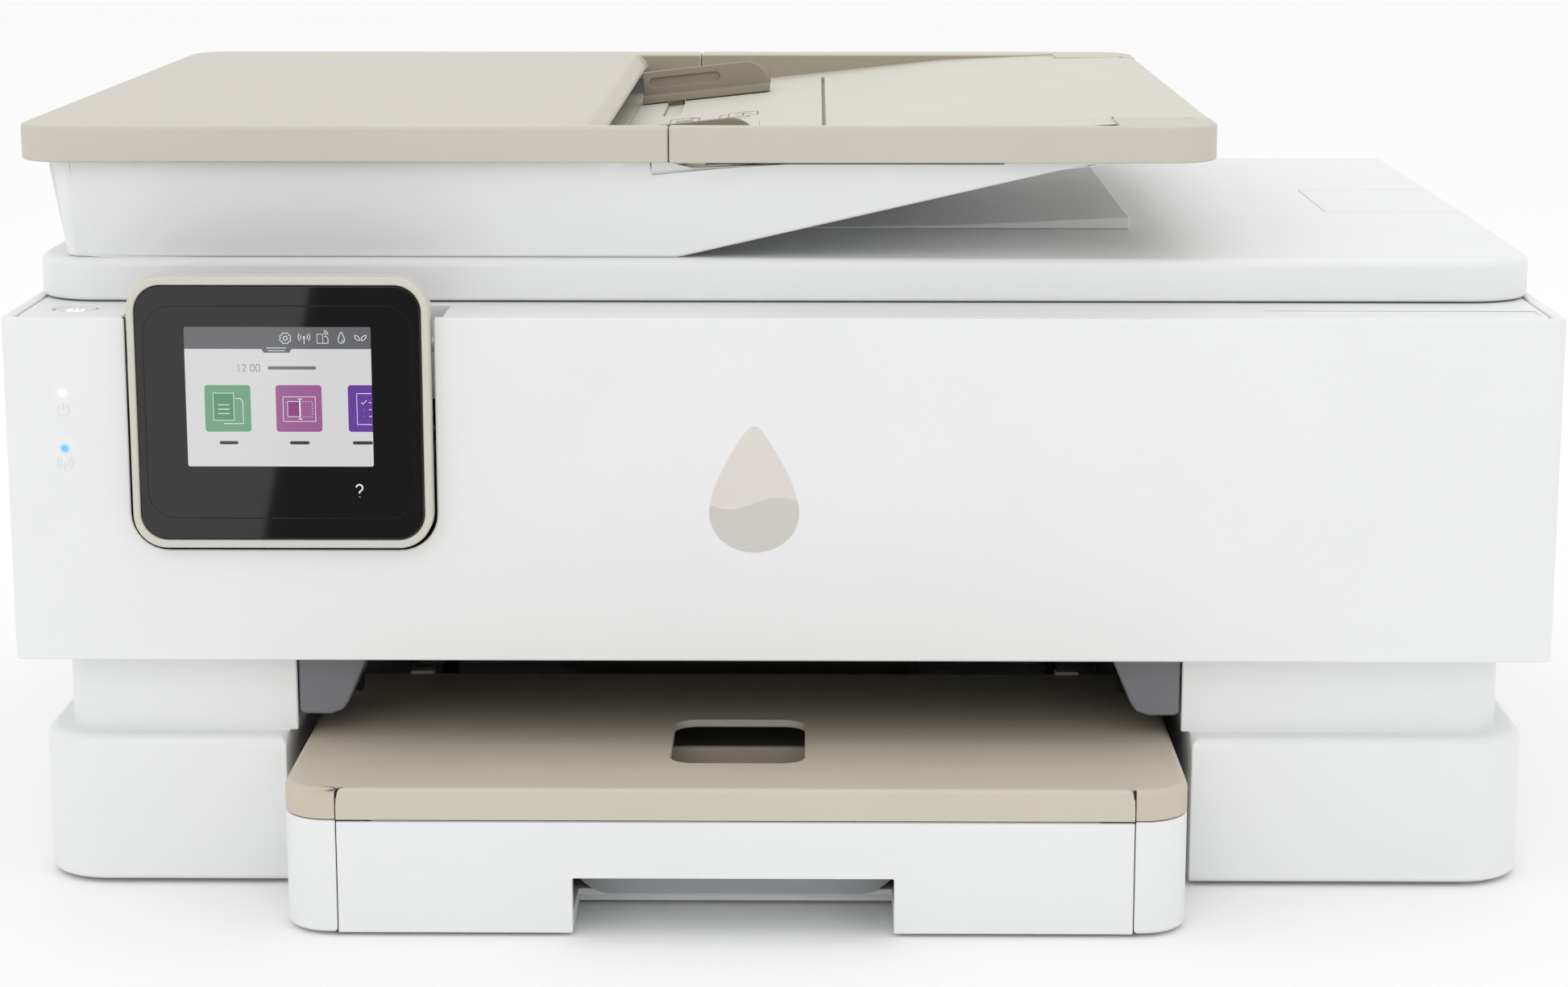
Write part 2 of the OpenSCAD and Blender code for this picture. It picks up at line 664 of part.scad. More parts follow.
module panel_back() color([0.75, 0.73, 0.68]) {
    x = [panel_x[0] + 5.2, panel_x[1] - 5.2];
    z = [panel_z[0] + 5.2, panel_z[1] - 5.2];
    difference() {
        block(x, [panel_y + 4.6, yf + 3], z);
        block([x[0] + 2, x[1] - 2], [panel_y + 4, yf + 1], [z[0] + 2, z[1] - 2]);
    }
    // pivot arms and pins
    for (s = [0, 1]) {
        ax = s == 0 ? x[0] : x[1] - 5;
        block([ax, ax + 5], [yf + 2, tilt_y], [tilt_z - 4, tilt_z + 4]);
        rod_x([ax, ax + 5], tilt_y, tilt_z, 4);
    }
    rod_x([panel_x[0] - panel_gap - ear_t + 0.5, x[0] + 1], tilt_y, tilt_z, tilt_r);
    rod_x([x[1] - 1, panel_x[1] + panel_gap + ear_t - 0.5], tilt_y, tilt_z, tilt_r);
}

// ---- scanner unit ----

module scanner_bed() color(white) difference() {
    skin = 2.5;
    notch = [panel_x[0] - 3, panel_x[1] + 3];
    notch_back = yf + 28;
    well = [lid_y[0] + 3, bed_y[1] - wall - 8];
    block(bed_x, bed_y, [bed_low, bed_top], 2);
    // room for the control panel and its pivot ears
    block(notch, [yf, notch_back], [bed_low - 1, bed_top + 1]);
    block([notch[0] - 6, notch[1] + 6], [yf, notch_back - wall], [bed_low - 1, bed_top - skin]);
    // closed well of the scan bar, under the glass
    block([bed_x[0] + wall, bed_x[1] - wall], well, [bed_low + wall, bed_top - skin]);
    // hollow front ledge, open underneath
    for (x = [[bed_x[0] + wall, notch[0] - 6 - wall], [notch[1] + 6 + wall, bed_x[1] - wall]])
        block(x, [bed_y[0] + wall, well[0] - wall], [bed_low - 1, bed_top - skin]);
    // panes, power button and the lid's hinge posts
    block(glass_x, glass_y, [bed_top - glass_t, bed_top + 1]);
    block(strip_x, glass_y, [bed_top - glass_t, bed_top + 1]);
    block([glass_x[0] + 4, glass_x[1] - 4], [glass_y[0] + 4, glass_y[1] - 4],
        [bed_top - 4, bed_top]);
    block([strip_x[0] + 3, strip_x[1] - 3], [glass_y[0] + 3, glass_y[1] - 3],
        [bed_top - 4, bed_top]);
    translate([button_x, button_y, bed_top - 4]) cylinder(r = button_r + 0.35, h = 5);
    for (x = hinge_x) {
        block([x - 6, x + 6], [lift_y - 6.5, yb], [bed_low - 1, lift_z + 5.5]);
        rod_x([x - 14, x + 14], lift_y, lift_z, pin_r + run_gap);
    }
}

module power_button() color([0.9, 0.9, 0.9]) translate([button_x, button_y, 0]) {
    translate([0, 0, bed_top - 2.6]) difference() {
        cylinder(r = button_r, h = 2.4);
        translate([0, 0, 13.4]) sphere(r = 11.6);
    }
    translate([0, 0, bed_top - 9]) cylinder(r = 2.4, h = 6.5);
    translate([0, 0, bed_top - 4.2]) cylinder(r = button_r + 0.9, h = 1.2);
}

module scanner_glass() color([0.6, 0.7, 0.72, 0.5]) {
    for (x = [glass_x, strip_x])
        block([x[0] + 0.1, x[1] - 0.1], [glass_y[0] + 0.1, glass_y[1] - 0.1],
            [bed_top - glass_t, bed_top - 0.1]);
}

module scan_rail() color("silver")
    rod_x([bed_x[0] + wall, bed_x[1] - wall], rail_y, rail_z, 3);

module scan_bar() color([0.15, 0.15, 0.16]) difference() {
    union() {
        block(bar_x, bar_y, [rail_z + 2, bed_top - 4.5]);
        block([bar_x[0], bar_x[1]], [rail_y - 7, rail_y + 7], [rail_z - 5, rail_z + 3]);
    }
    rod_x([bar_x[0] - 1, bar_x[1] + 1], rail_y, rail_z, 3 + run_gap);
    block([bar_x[0] + 7, bar_x[1] - 7], [bar_y[0] + 4, bar_y[1] - 4],
        [rail_z + 8, bed_top - 4]);
}

module lid_hinges() color([0.85, 0.85, 0.85]) for (x = hinge_x) {
    block([x - post_w / 2, x + post_w / 2], [hinge_y - 5, hinge_y + 5], [bed_top, hinge_z]);
    rod_x([x - post_w / 2, x + post_w / 2], hinge_y, hinge_z, 5);
    rod_x([x - post_w / 2 - 9, x + post_w / 2 + 9], hinge_y, hinge_z, pin_r);
}

// ---- lid and document feeder ----

module scanner_lid() color(white) {
    round_r = lid_h / 2;
    difference() {
        union() {
            front_round(lid_x, [lid_y[0], hinge_y], [lid_low, lid_top], 20);
            rod_x(lid_x, hinge_y, hinge_z, round_r);
        }
        // recess for the backing pad
        block([glass_x[0] - 6, glass_x[1] + 6], [glass_y[0] - 6, glass_y[1] - 6],
            [lid_low - 1, lid_low + 4.5]);
        for (x = hinge_x) {
            block([x - post_w / 2 - slide_gap, x + post_w / 2 + slide_gap],
                [hinge_y - 6.5, yb], [lid_low - 1, lid_top + 1]);
            rod_x([x - post_w / 2 - 9.5, x + post_w / 2 + 9.5], hinge_y, hinge_z,
                pin_r + run_gap);
        }
    }
}

module lid_pad() color([0.97, 0.97, 0.97])
    block([glass_x[0] - 5, glass_x[1] + 5], [glass_y[0] - 5, glass_y[1] - 7],
        [lid_low + 0.3, lid_low + 4.5]);

// tapering wedge on the lid that stops delivered pages
module output_ramp() color(white) profile_y([lid_y[0] + 74, lid_y[1] - 74], [
    [-20, lid_top], [111, lid_top], [111, lid_top + 4], [60, lid_top + 1.6]]);

module feeder_base() color(white) difference() {
    union() {
        difference() {
            block([base_x[0], base_x[1]], base_y, [lid_top, rim_low + 1], 6);
            block([base_x[0] + wall, base_x[1] - wall], [base_y[0] + wall, base_y[1] - wall],
                [lid_top + wall, rim_low + 2], 4);
            // low wall on the hinge side, open slot for leaving pages on the other
            block([base_x[0] - 1, base_x[0] + 20], [base_y[0] + 10, base_y[1] - 10],
                [rim_low - 1.5, rim_low + 2]);
            block([base_x[1] - 10, base_x[1] + 1], [hopper_y[0] + 2, hopper_y[1] - 2],
                [lid_top + 4, lid_top + 16]);
            block([recess_left - 1, base_x[1] + 1], [hopper_y[0] - 0.2, hopper_y[1] + 0.2],
                [floor_low - 2.6, rim_low + 2]);
        }
        // ears of the cover's hinge
        for (y = [base_y[0] + 30, base_y[1] - 38]) {
            rod_y(cover_pin[0], [y, y + 8], cover_pin[1], ear_r);
            block([cover_pin[0], base_x[0] + 6], [y, y + 8], [cover_pin[1] - 3, cover_pin[1] + 3]);
            block([base_x[0], base_x[0] + wall], [y, y + 8], [rim_low - 4, cover_pin[1] + 3]);
        }
        // front and rear skirts that rise towards the free end
        for (y = [base_y[0], base_y[1] - 5]) profile_y([y, y + 5], [
            [base_x[1] - 6, lid_top], [base_x[1] + 2, lid_top],
            [wing_end, rim_low - 0.4], [flap_x[0] - 8, rim_low - 0.4],
            [base_x[1] - 6, hopper_z(base_x[1] - 6) - 2.2]]);
        // deck under the hopper
        profile_y([base_y[0] + 4, base_y[1] - 4], [
            [base_x[1] - 4, floor_low - 2.2], [wing_end - 2, rim_low + 0.1],
            [wing_end - 2, rim_low - 2], [base_x[1] - 4, floor_low - 2.2 - deck]]);
    }
    for (y = [base_y[0] + 30, base_y[1] - 38])
        rod_y(cover_pin[0], [y - 1, y + 9], cover_pin[1], 1.5 + run_gap);
    rod_y(drive_x, [base_y[0] + 1, base_y[1] - 1], drive_z, 3 + run_gap);
}

module feeder_tray() color(beige) {
    x = [feeder_seam + 0.15, feeder_x[1]];
    difference() {
        union() {
            difference() {
                block([x[0] - 40, x[1]], feeder_y, [rim_low, rim_top], feeder_corner);
                block([x[0] - 60, x[0]], [feeder_y[0] - 1, feeder_y[1] + 1],
                    [rim_low - 1, rim_top + 1]);
                block([x[0] - 1, x[1] - 3], [feeder_y[0] + 2.4, feeder_y[1] - 2.4],
                    [rim_low - 1, rim_top - 5.6], feeder_corner - 2.4);
            }
            // rims of the recess, down to the hopper floor
            for (y = [[feeder_y[0] + 2, hopper_y[0]], [hopper_y[1], feeder_y[1] - 2]])
                profile_y(y, [[x[0], rim_low + 0.2], [x[0] + 100, rim_low + 0.2],
                    [x[0] + 100, rim_top - e], [x[0], rim_top - e]]);
        }
        block([x[0] - 70, floor_flat], hopper_y, [rim_low - 2, rim_top + 1]);
        flap_pocket();
        rod_y(flap_pin[0], [flap_y[0] - 4, flap_y[1] + 4], flap_pin[1], 1 + run_gap);
    }
    // sloping floor, with a pocket for the fold-out flap
    difference() {
        profile_y([hopper_y[0] - e, hopper_y[1] + e], [
            [recess_left, hopper_z(recess_left) - 2], [recess_left, hopper_z(recess_left)],
            [floor_mid, hopper_z(floor_mid)], [floor_flat + e, hopper_z(floor_flat)],
            [floor_flat + e, hopper_z(floor_flat) - 4.5], [floor_mid, hopper_z(floor_mid) - 5],
            [flap_x[0], hopper_z(flap_x[0]) - 3.8], [flap_x[0] - 8, hopper_z(flap_x[0] - 8) - 2]]);
        guide_slots();
        flap_pocket();
    }
}

// slots in which the feet of the two paper guides slide
module guide_slots() for (y = [[hopper_y[0] + 6, hopper_y[0] + 75],
        [hopper_y[1] - 115, hopper_y[1] - 40]])
    block([-44, -38], y, [floor_low - 5, floor_low + 20]);

module flap_pocket() profile_y([flap_y[0] - slide_gap, flap_y[1] + slide_gap], [
    [flap_x[0] - 1, hopper_z(flap_x[0]) - flap_t - 0.4],
    [floor_mid, hopper_z(floor_mid) - flap_t - 0.4],
    [floor_flat, hopper_z(floor_flat) - flap_t - 0.4],
    [floor_flat + 5, rim_top - fold_low], [feeder_x[1] + 1, rim_top - fold_low],
    [feeder_x[1] + 1, rim_top + 5], [flap_x[0] - 1, rim_top + 5]]);

module feeder_drive_roller() color([0.25, 0.25, 0.26]) {
    rod_y(drive_x, [base_y[0] + 1.2, base_y[1] - 1.2], drive_z, 3);
    for (k = [-1, 0, 1]) {
        y = (base_y[0] + base_y[1]) / 2 + k * 50;
        rod_y(drive_x, [y - 12, y + 12], drive_z, 9);
    }
}

module feeder_pick_roller() color([0.25, 0.25, 0.26]) {
    y = (base_y[0] + base_y[1]) / 2;
    rod_y(picker_x, [y - 23, y + 23], picker_z, 2.5);
    rod_y(picker_x, [y - 15, y + 15], picker_z, 7);
}

module feeder_cover() color(beige) {
    x = [feeder_x[0], feeder_seam - 0.15];
    y = (base_y[0] + base_y[1]) / 2;
    difference() {
        union() {
            difference() {
                block([x[0], x[1] + 40], feeder_y, [rim_low, rim_top], feeder_corner);
                block([x[1], x[1] + 60], [feeder_y[0] - 1, feeder_y[1] + 1],
                    [rim_low - 1, rim_top + 1]);
                block([x[0] + cover_wall, x[1] + 20],
                    [feeder_y[0] + cover_wall, feeder_y[1] - cover_wall],
                    [rim_low - 1, rim_top - cover_wall], feeder_corner - cover_wall);
            }
            // thickened lip over the mouth, and the ends of the recess's rims
            block([recess_left - 7, recess_left + 1], [hopper_y[0] - 3, hopper_y[1] + 3],
                [rim_top - 5.5, rim_top - 1]);
            for (ry = [[hopper_y[0] - 2.4, hopper_y[0]], [hopper_y[1], hopper_y[1] + 2.4]])
                block([recess_left - 7, x[1]], ry, [rim_low + 1.4, rim_top - 1]);
        }
        block([recess_left, x[1] + 1], hopper_y, [rim_low - 2, rim_top + 1]);
        profile_y(hopper_y, [[recess_left - 4, rim_top + 1], [recess_left - 4, rim_top],
            [recess_left, rim_top - 4], [recess_left + 1, rim_top - 4],
            [recess_left + 1, rim_top + 1]]);
    }
    // lugs on the hinge pins, with the pins moulded on
    for (ly = [base_y[0] + 25, base_y[0] + 38.5, base_y[1] - 43, base_y[1] - 29.5]) {
        rod_y(cover_pin[0], [ly, ly + 4.5], cover_pin[1], ear_r);
        block([cover_pin[0] - 3, cover_pin[0] + 3], [ly, ly + 4.5],
            [cover_pin[1], rim_top - cover_wall + e]);
    }
    for (ly = [base_y[0] + 27, base_y[1] - 41])
        rod_y(cover_pin[0], [ly, ly + 14], cover_pin[1], 1.5);
    // cheeks that carry the pick roller
    for (cy = [y - 20, y + 17]) difference() {
        block([picker_x - 5, picker_x + 5], [cy, cy + 3],
            [picker_z - 4.5, rim_top - cover_wall + e]);
        rod_y(picker_x, [cy - 1, cy + 4], picker_z, 2.5 + run_gap);
    }
}

module tray_flap() color([0.82, 0.80, 0.75]) {
    profile_y(flap_y, [
        [flap_x[0], hopper_z(flap_x[0]) - flap_t], [flap_x[0], hopper_z(flap_x[0])],
        [floor_mid, hopper_z(floor_mid)], [floor_flat, hopper_z(floor_flat)],
        [flap_pin[0], rim_top], [flap_pin[0], rim_top - flap_t],
        [floor_flat, hopper_z(floor_flat) - flap_t],
        [floor_mid, hopper_z(floor_mid) - flap_t]]);
    rod_y(flap_pin[0], flap_y, flap_pin[1], flap_r);
    rod_y(flap_pin[0], [flap_y[0] - 3.5, flap_y[1] + 3.5], flap_pin[1], 1);
}

// upright paper guide with a rounded outer end, on a ledge towards the paper
module feed_guide(y, side) color([0.72, 0.70, 0.63]) {
    round_r = 9;
    end = guide_x[1];
    slope = floor_rise / (floor_mid - recess_left);
    top = guide_z[1];
    lift = 0.4;
    plate = side > 0 ? [y, y + 2.4] : [y - 2.4, y];
    ledge = side > 0 ? [y - 5, y + 1] : [y - 1, y + 5];
    mid = [end - round_r, top - round_r];
    profile_y(plate, concat(
        [[guide_x[0], hopper_z(guide_x[0]) + lift], [end, hopper_z(end) + lift]],
        [for (a = [0 : 7.5 : 90]) [mid[0] + round_r * cos(a), mid[1] + round_r * sin(a)]],
        [[guide_x[0], top - slope * (end - round_r - guide_x[0])]]));
    profile_y(ledge, [
        [guide_x[0], hopper_z(guide_x[0]) + lift], [end, hopper_z(end) + lift],
        [end, hopper_z(end) + 3], [guide_x[0], hopper_z(guide_x[0]) + 3]]);
    block([-43.6, -38.4], [y - 3, y + 3], [hopper_z(-41) - 1.6, hopper_z(-41) + 1]);
}

module rear_feed_guide() feed_guide(rear_guide_y, 1);
module front_feed_guide() feed_guide(front_guide_y, -1);

// ---- paper tray ----

module paper_tray() color(white) difference() {
    union() {
        difference() {
            front_round(tray, tray_y, [tray_z, tray_h], tray_corner);
            block([tray[0] + tray_wall, tray[1] - tray_wall],
                [front + tray_corner + 1, tray_y[1] - tray_wall],
                [tray_z + tray_floor, tray_h + 1]);
            block([front_x[0] + tray_wall, front_x[1] - tray_wall],
                [front - 1, front + tray_corner + 2], [tray_z + tray_floor, tray_h + 1]);
        }
    }
    // low back wall under the pickup roller, and the gap for the pull-out front
    block([tray[0] + tray_wall, tray[1] - tray_wall], [tray_y[1] - 20, tray_y[1] + 1],
        [tray_z + 12, tray_h + 1]);
    block(front_x, [front - 1, front + front_t + slide_gap], [tray_z - 1, tray_h + 1]);
    block(notch_x, [front - 1, front + 30], [tray_z - 1, tray_z + tray_floor + e]);
    for (x = [tray_x - 60, tray_x + 60])
        block([x - 2, x + 2], [front + 40, front + 160], [tray_z - 1, tray_z + tray_floor + 1]);
    for (y = [tray_y[1] - 88, tray_y[1] - 78])
        block([tray[0] + 8, tray[1] - 8], [y, y + 4], [tray_z + 1, tray_z + tray_floor + 1]);
}

module output_cover() color(beige) {
    top = [cover_top - 2.4, cover_top];
    y = [front, front + cover_d];
    difference() {
        front_round(tray, y, [tray_h + 0.3, cover_top], tray_corner);
        block([tray[0] + 2.4, tray[1] - 2.4], [front + tray_corner + 1, y[1] + 1],
            [tray_h - 1, top[0]]);
        block([front_x[0] + 2.4, front_x[1] - 2.4], [front - 1, front + tray_corner + 2],
            [tray_h - 1, top[0]]);
        block(front_x, [front - 1, front + front_t + slide_gap], [tray_h - 1, top[0] + e]);
        block([tray_x - hole_w / 2, tray_x + hole_w / 2], hole_y, [tray_h, cover_top + 1], 7);
    }
    for (x = [tray_x - 105.2, tray_x + 105.2])
        block([x - 3.8, x + 3.8], [y[1] - 1, y[1] + 4], [cover_top - 2.4, cover_top + 1]);
}

// pull-out front of the tray: white wall with a grip, beige band above, and its sliding floor
module tray_extension() color(white) {
    x = [front_x[0] + 0.3, front_x[1] - 0.3];
    floor_z = [tray_z + tray_floor + 0.3, tray_z + tray_floor + 2.1];
    difference() {
        block(x, [front, front + front_t], [tray_z, tray_h - 0.4]);
        block(notch_x, [front - 1, front + front_t + 1], [tray_z - 1, notch_h]);
    }
    block(x, [front, front + front_t], [tray_h + 0.3, cover_top - 2.8]);
    block([x[0] + 10, x[1] - 10], [front + 1, front + front_t - 1], [tray_h - 1, tray_h + 1]);
    // curved hood behind the grip
    block([notch_x[0] - 2, notch_x[1] + 2], [front + front_t - e, front + 30],
        [notch_h, notch_h + 2]);
    for (nx = [notch_x[0] - 2, notch_x[1]])
        block([nx, nx + 2], [front + front_t - e, front + 30], [floor_z[0], notch_h + e]);
    block([notch_x[0] - 2, notch_x[1] + 2], [front + 28, front + 30], [floor_z[0], notch_h + e]);
    for (fx = [[x[0] + 3, notch_x[0]], [notch_x[1], x[1] - 3]])
        block(fx, [front + front_t - e, front + 100], floor_z);
    block([x[0] + 3, x[1] - 3], [front + 30 - e, front + 100], floor_z);
}

module photo_tray() color([0.55, 0.53, 0.47]) {
    z = [tray_h - 7, tray_h - 0.5];
    x = [tray_x - 58, tray_x + 58];
    y = [front + 34, front + 210];
    difference() {
        block(x, y, z, 4);
        block([x[0] + 2, x[1] - 2], [y[0] + 2, y[1] - 2], [z[0] + 1.8, z[1] + 1]);
        block([tray_x - 16, tray_x + 16], [y[0] + 14, y[0] + 60], [z[0] - 1, z[1] + 1], 6);
    }
    // raised bar that a finger pulls
    block([tray_x - 24, tray_x + 24], [hole_y[1] - 9, hole_y[1] - 6], [z[0], tray_h + 3]);
}

module width_guide(x, side) color([0.3, 0.3, 0.32]) {
    y = [tray_y[1] - 120, tray_y[1] - 50];
    z = tray_z + tray_floor + 0.3;
    block([x - 1, x + 1], y, [z, z + 19]);
    block(side > 0 ? [x - 1, x + 20] : [x - 20, x + 1], y, [z, z + 2]);
    // rack bar towards the middle
    ry = side > 0 ? y[0] + 34 : y[0] + 43;
    block(side > 0 ? [x - e, x + 60] : [x - 60, x + e], [ry, ry + 3.4], [z, z + 2]);
}

module left_width_guide() width_guide(width_guide_x[0], 1);
module right_width_guide() width_guide(width_guide_x[1], -1);

module length_guide() color([0.3, 0.3, 0.32]) {
    z = tray_z + tray_floor + 2.4;
    y = front + 104;
    block([tray_x - 20, tray_x + 20], [y, y + 2], [z - 1.8, tray_h - 12.5]);
    block([tray_x - 20, tray_x + 20], [y, y + 26], [z - 1.8, z + 0.2]);
}

base_housing();
upper_housing();
rear_cover();
rubber_feet();
left_bay_guide();
right_bay_guide();
bay_liner();
chassis_frame();
carriage_rod();
platen();
service_station();
main_board();
power_supply();
power_inlet();
usb_port();
status_lights();
carriage_motor();
feed_motor();
access_hinges();
housing_screws();
carriage_belt();
ink_carriage();
black_cartridge();
colour_cartridge();
drive_pulley();
idler_pulley();
feed_roller();
output_roller();
motor_pinion();
pickup_arm();
pickup_roller();
panel_frame();
panel_glass();
panel_display();
panel_back();
scanner_bed();
scanner_glass();
scan_rail();
lid_hinges();
power_button();
scan_bar();
scanner_lid();
lid_pad();
output_ramp();
feeder_base();
feeder_tray();
feeder_cover();
feeder_pick_roller();
feeder_drive_roller();
tray_flap();
rear_feed_guide();
front_feed_guide();
paper_tray();
output_cover();
tray_extension();
photo_tray();
left_width_guide();
right_width_guide();
length_guide();
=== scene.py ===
import json
import math
import bmesh
import bpy
from mathutils import Matrix, Vector

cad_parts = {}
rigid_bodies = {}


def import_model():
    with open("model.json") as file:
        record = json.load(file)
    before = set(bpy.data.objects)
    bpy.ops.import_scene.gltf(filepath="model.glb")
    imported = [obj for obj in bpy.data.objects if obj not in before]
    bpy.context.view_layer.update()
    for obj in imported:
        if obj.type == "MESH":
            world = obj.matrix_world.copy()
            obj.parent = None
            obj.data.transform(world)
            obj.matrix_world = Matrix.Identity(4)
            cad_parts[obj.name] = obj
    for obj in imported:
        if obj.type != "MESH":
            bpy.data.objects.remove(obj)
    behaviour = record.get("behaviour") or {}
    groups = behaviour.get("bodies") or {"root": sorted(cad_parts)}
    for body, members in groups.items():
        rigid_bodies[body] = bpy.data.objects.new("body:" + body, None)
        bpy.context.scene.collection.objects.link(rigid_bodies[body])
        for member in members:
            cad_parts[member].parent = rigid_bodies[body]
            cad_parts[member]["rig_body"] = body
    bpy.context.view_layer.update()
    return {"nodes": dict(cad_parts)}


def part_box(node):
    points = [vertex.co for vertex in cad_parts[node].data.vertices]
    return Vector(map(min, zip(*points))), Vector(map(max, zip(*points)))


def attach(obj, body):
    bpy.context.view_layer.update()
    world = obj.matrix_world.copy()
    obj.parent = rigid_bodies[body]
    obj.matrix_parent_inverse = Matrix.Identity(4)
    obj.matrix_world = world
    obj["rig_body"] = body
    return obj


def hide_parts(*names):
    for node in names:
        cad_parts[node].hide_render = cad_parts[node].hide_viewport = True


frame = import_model()
MM = 0.001
scene = bpy.context.scene

# ---- Rubber feet ----
# Four round feet pressed into the base. Soft black rubber, compression moulded, so it is dull
# and slightly uneven.


def linear(colour):
    """An sRGB hex colour as the linear red, green, blue and alpha that a shader wants."""
    channels = [int(colour[i:i + 2], 16) / 255 for i in (0, 2, 4)]
    return [c / 12.92 if c < 0.04045 else ((c + 0.055) / 1.055) ** 2.4 for c in channels] + [1]


def add(tree, kind, links=(), **settings):
    """Adds a node: settings name its properties or, by number, its inputs; links fill inputs."""
    made = tree.nodes.new(kind)
    for key, value in settings.items():
        if key.startswith("in_"):
            made.inputs[int(key[3:])].default_value = value
        else:
            setattr(made, key, value)
    for socket, source in links:
        tree.links.new(source, made.inputs[socket])
    return made


def moulded(name, light, dark, rough, grain=0.35, relief=0.02, patch=40):
    """Moulded plastic or rubber: a spark-eroded grain as bump, and a tone that drifts a little.

    Real grain is under 0.1 mm, too fine to show, so it is drawn at about 0.3 mm."""
    finish = bpy.data.materials.new(name)
    finish.use_nodes = True
    tree = finish.node_tree
    tree.nodes.clear()
    place = add(tree, "ShaderNodeTexCoord").outputs["Object"]
    cloud = add(tree, "ShaderNodeTexNoise", [("Vector", place)])
    cloud.inputs["Scale"].default_value = 1 / (patch * MM)
    cloud.inputs["Detail"].default_value = 3
    tone = add(tree, "ShaderNodeMix", [("Factor", cloud.outputs["Fac"])], data_type="RGBA")
    tone.inputs["A"].default_value = linear(dark)
    tone.inputs["B"].default_value = linear(light)
    sparks = add(tree, "ShaderNodeTexNoise", [("Vector", place)])
    sparks.inputs["Scale"].default_value = 1 / (grain * MM)
    sparks.inputs["Detail"].default_value = 2
    spread = add(tree, "ShaderNodeMapRange", [("Value", sparks.outputs["Fac"])])
    spread.inputs["To Min"].default_value = rough - 0.04
    spread.inputs["To Max"].default_value = rough + 0.04
    bump = add(tree, "ShaderNodeBump", [("Height", sparks.outputs["Fac"])])
    bump.inputs["Strength"].default_value = 0.6
    bump.inputs["Distance"].default_value = relief * MM
    shader = add(tree, "ShaderNodeBsdfPrincipled", [
        ("Base Color", tone.outputs["Result"]), ("Roughness", spread.outputs["Result"]),
        ("Normal", bump.outputs["Normal"])])
    shader.inputs["IOR"].default_value = 1.5
    add(tree, "ShaderNodeOutputMaterial", [("Surface", shader.outputs["BSDF"])])
    return finish


def into_scene(name, mesh):
    """A new object with this mesh, at the origin."""
    piece = bpy.data.objects.new(name, mesh)
    scene.collection.objects.link(piece)
    return piece


def soften(piece, width, steps=3, angle=30):
    """Rounds the sharp edges to this radius in millimetres and bakes the result in."""
    rounding = piece.modifiers.new("rounding", "BEVEL")
    rounding.width = width * MM
    rounding.segments = steps
    rounding.limit_method = "ANGLE"
    rounding.angle_limit = math.radians(angle)
    rounding.use_clamp_overlap = False
    rounding.harden_normals = False
    rounding.miter_outer = "MITER_ARC"
    bake(piece)


def bake(piece):
    """Replaces the piece's mesh by what its modifiers make of it."""
    seen = piece.evaluated_get(bpy.context.evaluated_depsgraph_get())
    mesh = bpy.data.meshes.new_from_object(seen)
    piece.modifiers.clear()
    piece.data = mesh


def shade(piece, finish, angle=40):
    """Gives the piece its material, smooth across soft edges and crisp across sharp ones."""
    piece.data.materials.clear()
    piece.data.materials.append(finish)
    for face in piece.data.polygons:
        face.material_index = 0
        face.use_smooth = True
    piece.data.set_sharp_from_angle(angle=math.radians(angle))
    flats = piece.modifiers.new("flats", "WEIGHTED_NORMAL")
    flats.keep_sharp = True
    bake(piece)


def merged_copy(node, name):
    """A copy of a frame piece as one closed mesh, its flat faces whole."""
    piece = into_scene(name, frame["nodes"][node].data.copy())
    form = bmesh.new()
    form.from_mesh(piece.data)
    bmesh.ops.remove_doubles(form, verts=form.verts, dist=0.002 * MM)
    bmesh.ops.dissolve_limit(form, angle_limit=math.radians(0.5), verts=form.verts,
                             edges=form.edges)
    form.to_mesh(piece.data)
    form.free()
    return piece


def stand_for(piece, *nodes):
    """The piece replaces these nodes and rides on the first one's body."""
    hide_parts(*nodes)
    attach(piece, frame["nodes"][nodes[0]]["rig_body"])


def finish_node(node, width, finish, steps=2):
    """The frame piece itself with its edges eased, under the name NODE_part."""
    piece = merged_copy(node, node + "_part")
    if width:
        soften(piece, width, steps)
    shade(piece, finish)
    stand_for(piece, node)
    return piece


# Rubber scatters what falls on it: near black, with no crisp highlight.
soft_rubber = moulded("moulded_black_rubber", "1F1F20", "161617", 0.75, grain=0.5, relief=0.04)
finish_node("rubber_feet", 0.3, soft_rubber)

# ---- Base housing ----
# The lower shell: two pods beside the paper tray with a stepped neck above. White ABS, injection
# moulded with a fine spark-eroded texture, its upper edges blended by a wide radius.

# The eroded mould leaves a soft satin sheen with no mirror image in it.
white_abs = moulded("white_moulded_abs", "EAEBEB", "E6E7E7", 0.45, grain=0.3, relief=0.012)


def soften_some(piece, width, steps, test):
    """Rounds only the sharp edges whose middle passes the test; the test gets millimetres."""
    form = bmesh.new()
    form.from_mesh(piece.data)
    weight = form.edges.layers.float.new("bevel_weight_edge")
    for edge in form.edges:
        middle = (edge.verts[0].co + edge.verts[1].co) / 2 / MM
        if len(edge.link_faces) == 2 and edge.calc_face_angle(0) > 0.5 and test(middle):
            edge[weight] = 1
    form.to_mesh(piece.data)
    form.free()
    rounding = piece.modifiers.new("rounding", "BEVEL")
    rounding.width = width * MM
    rounding.segments = steps
    rounding.limit_method = "WEIGHT"
    rounding.use_clamp_overlap = False
    bake(piece)
    if piece.data.attributes.get("bevel_weight_edge"):
        piece.data.attributes.remove(piece.data.attributes["bevel_weight_edge"])


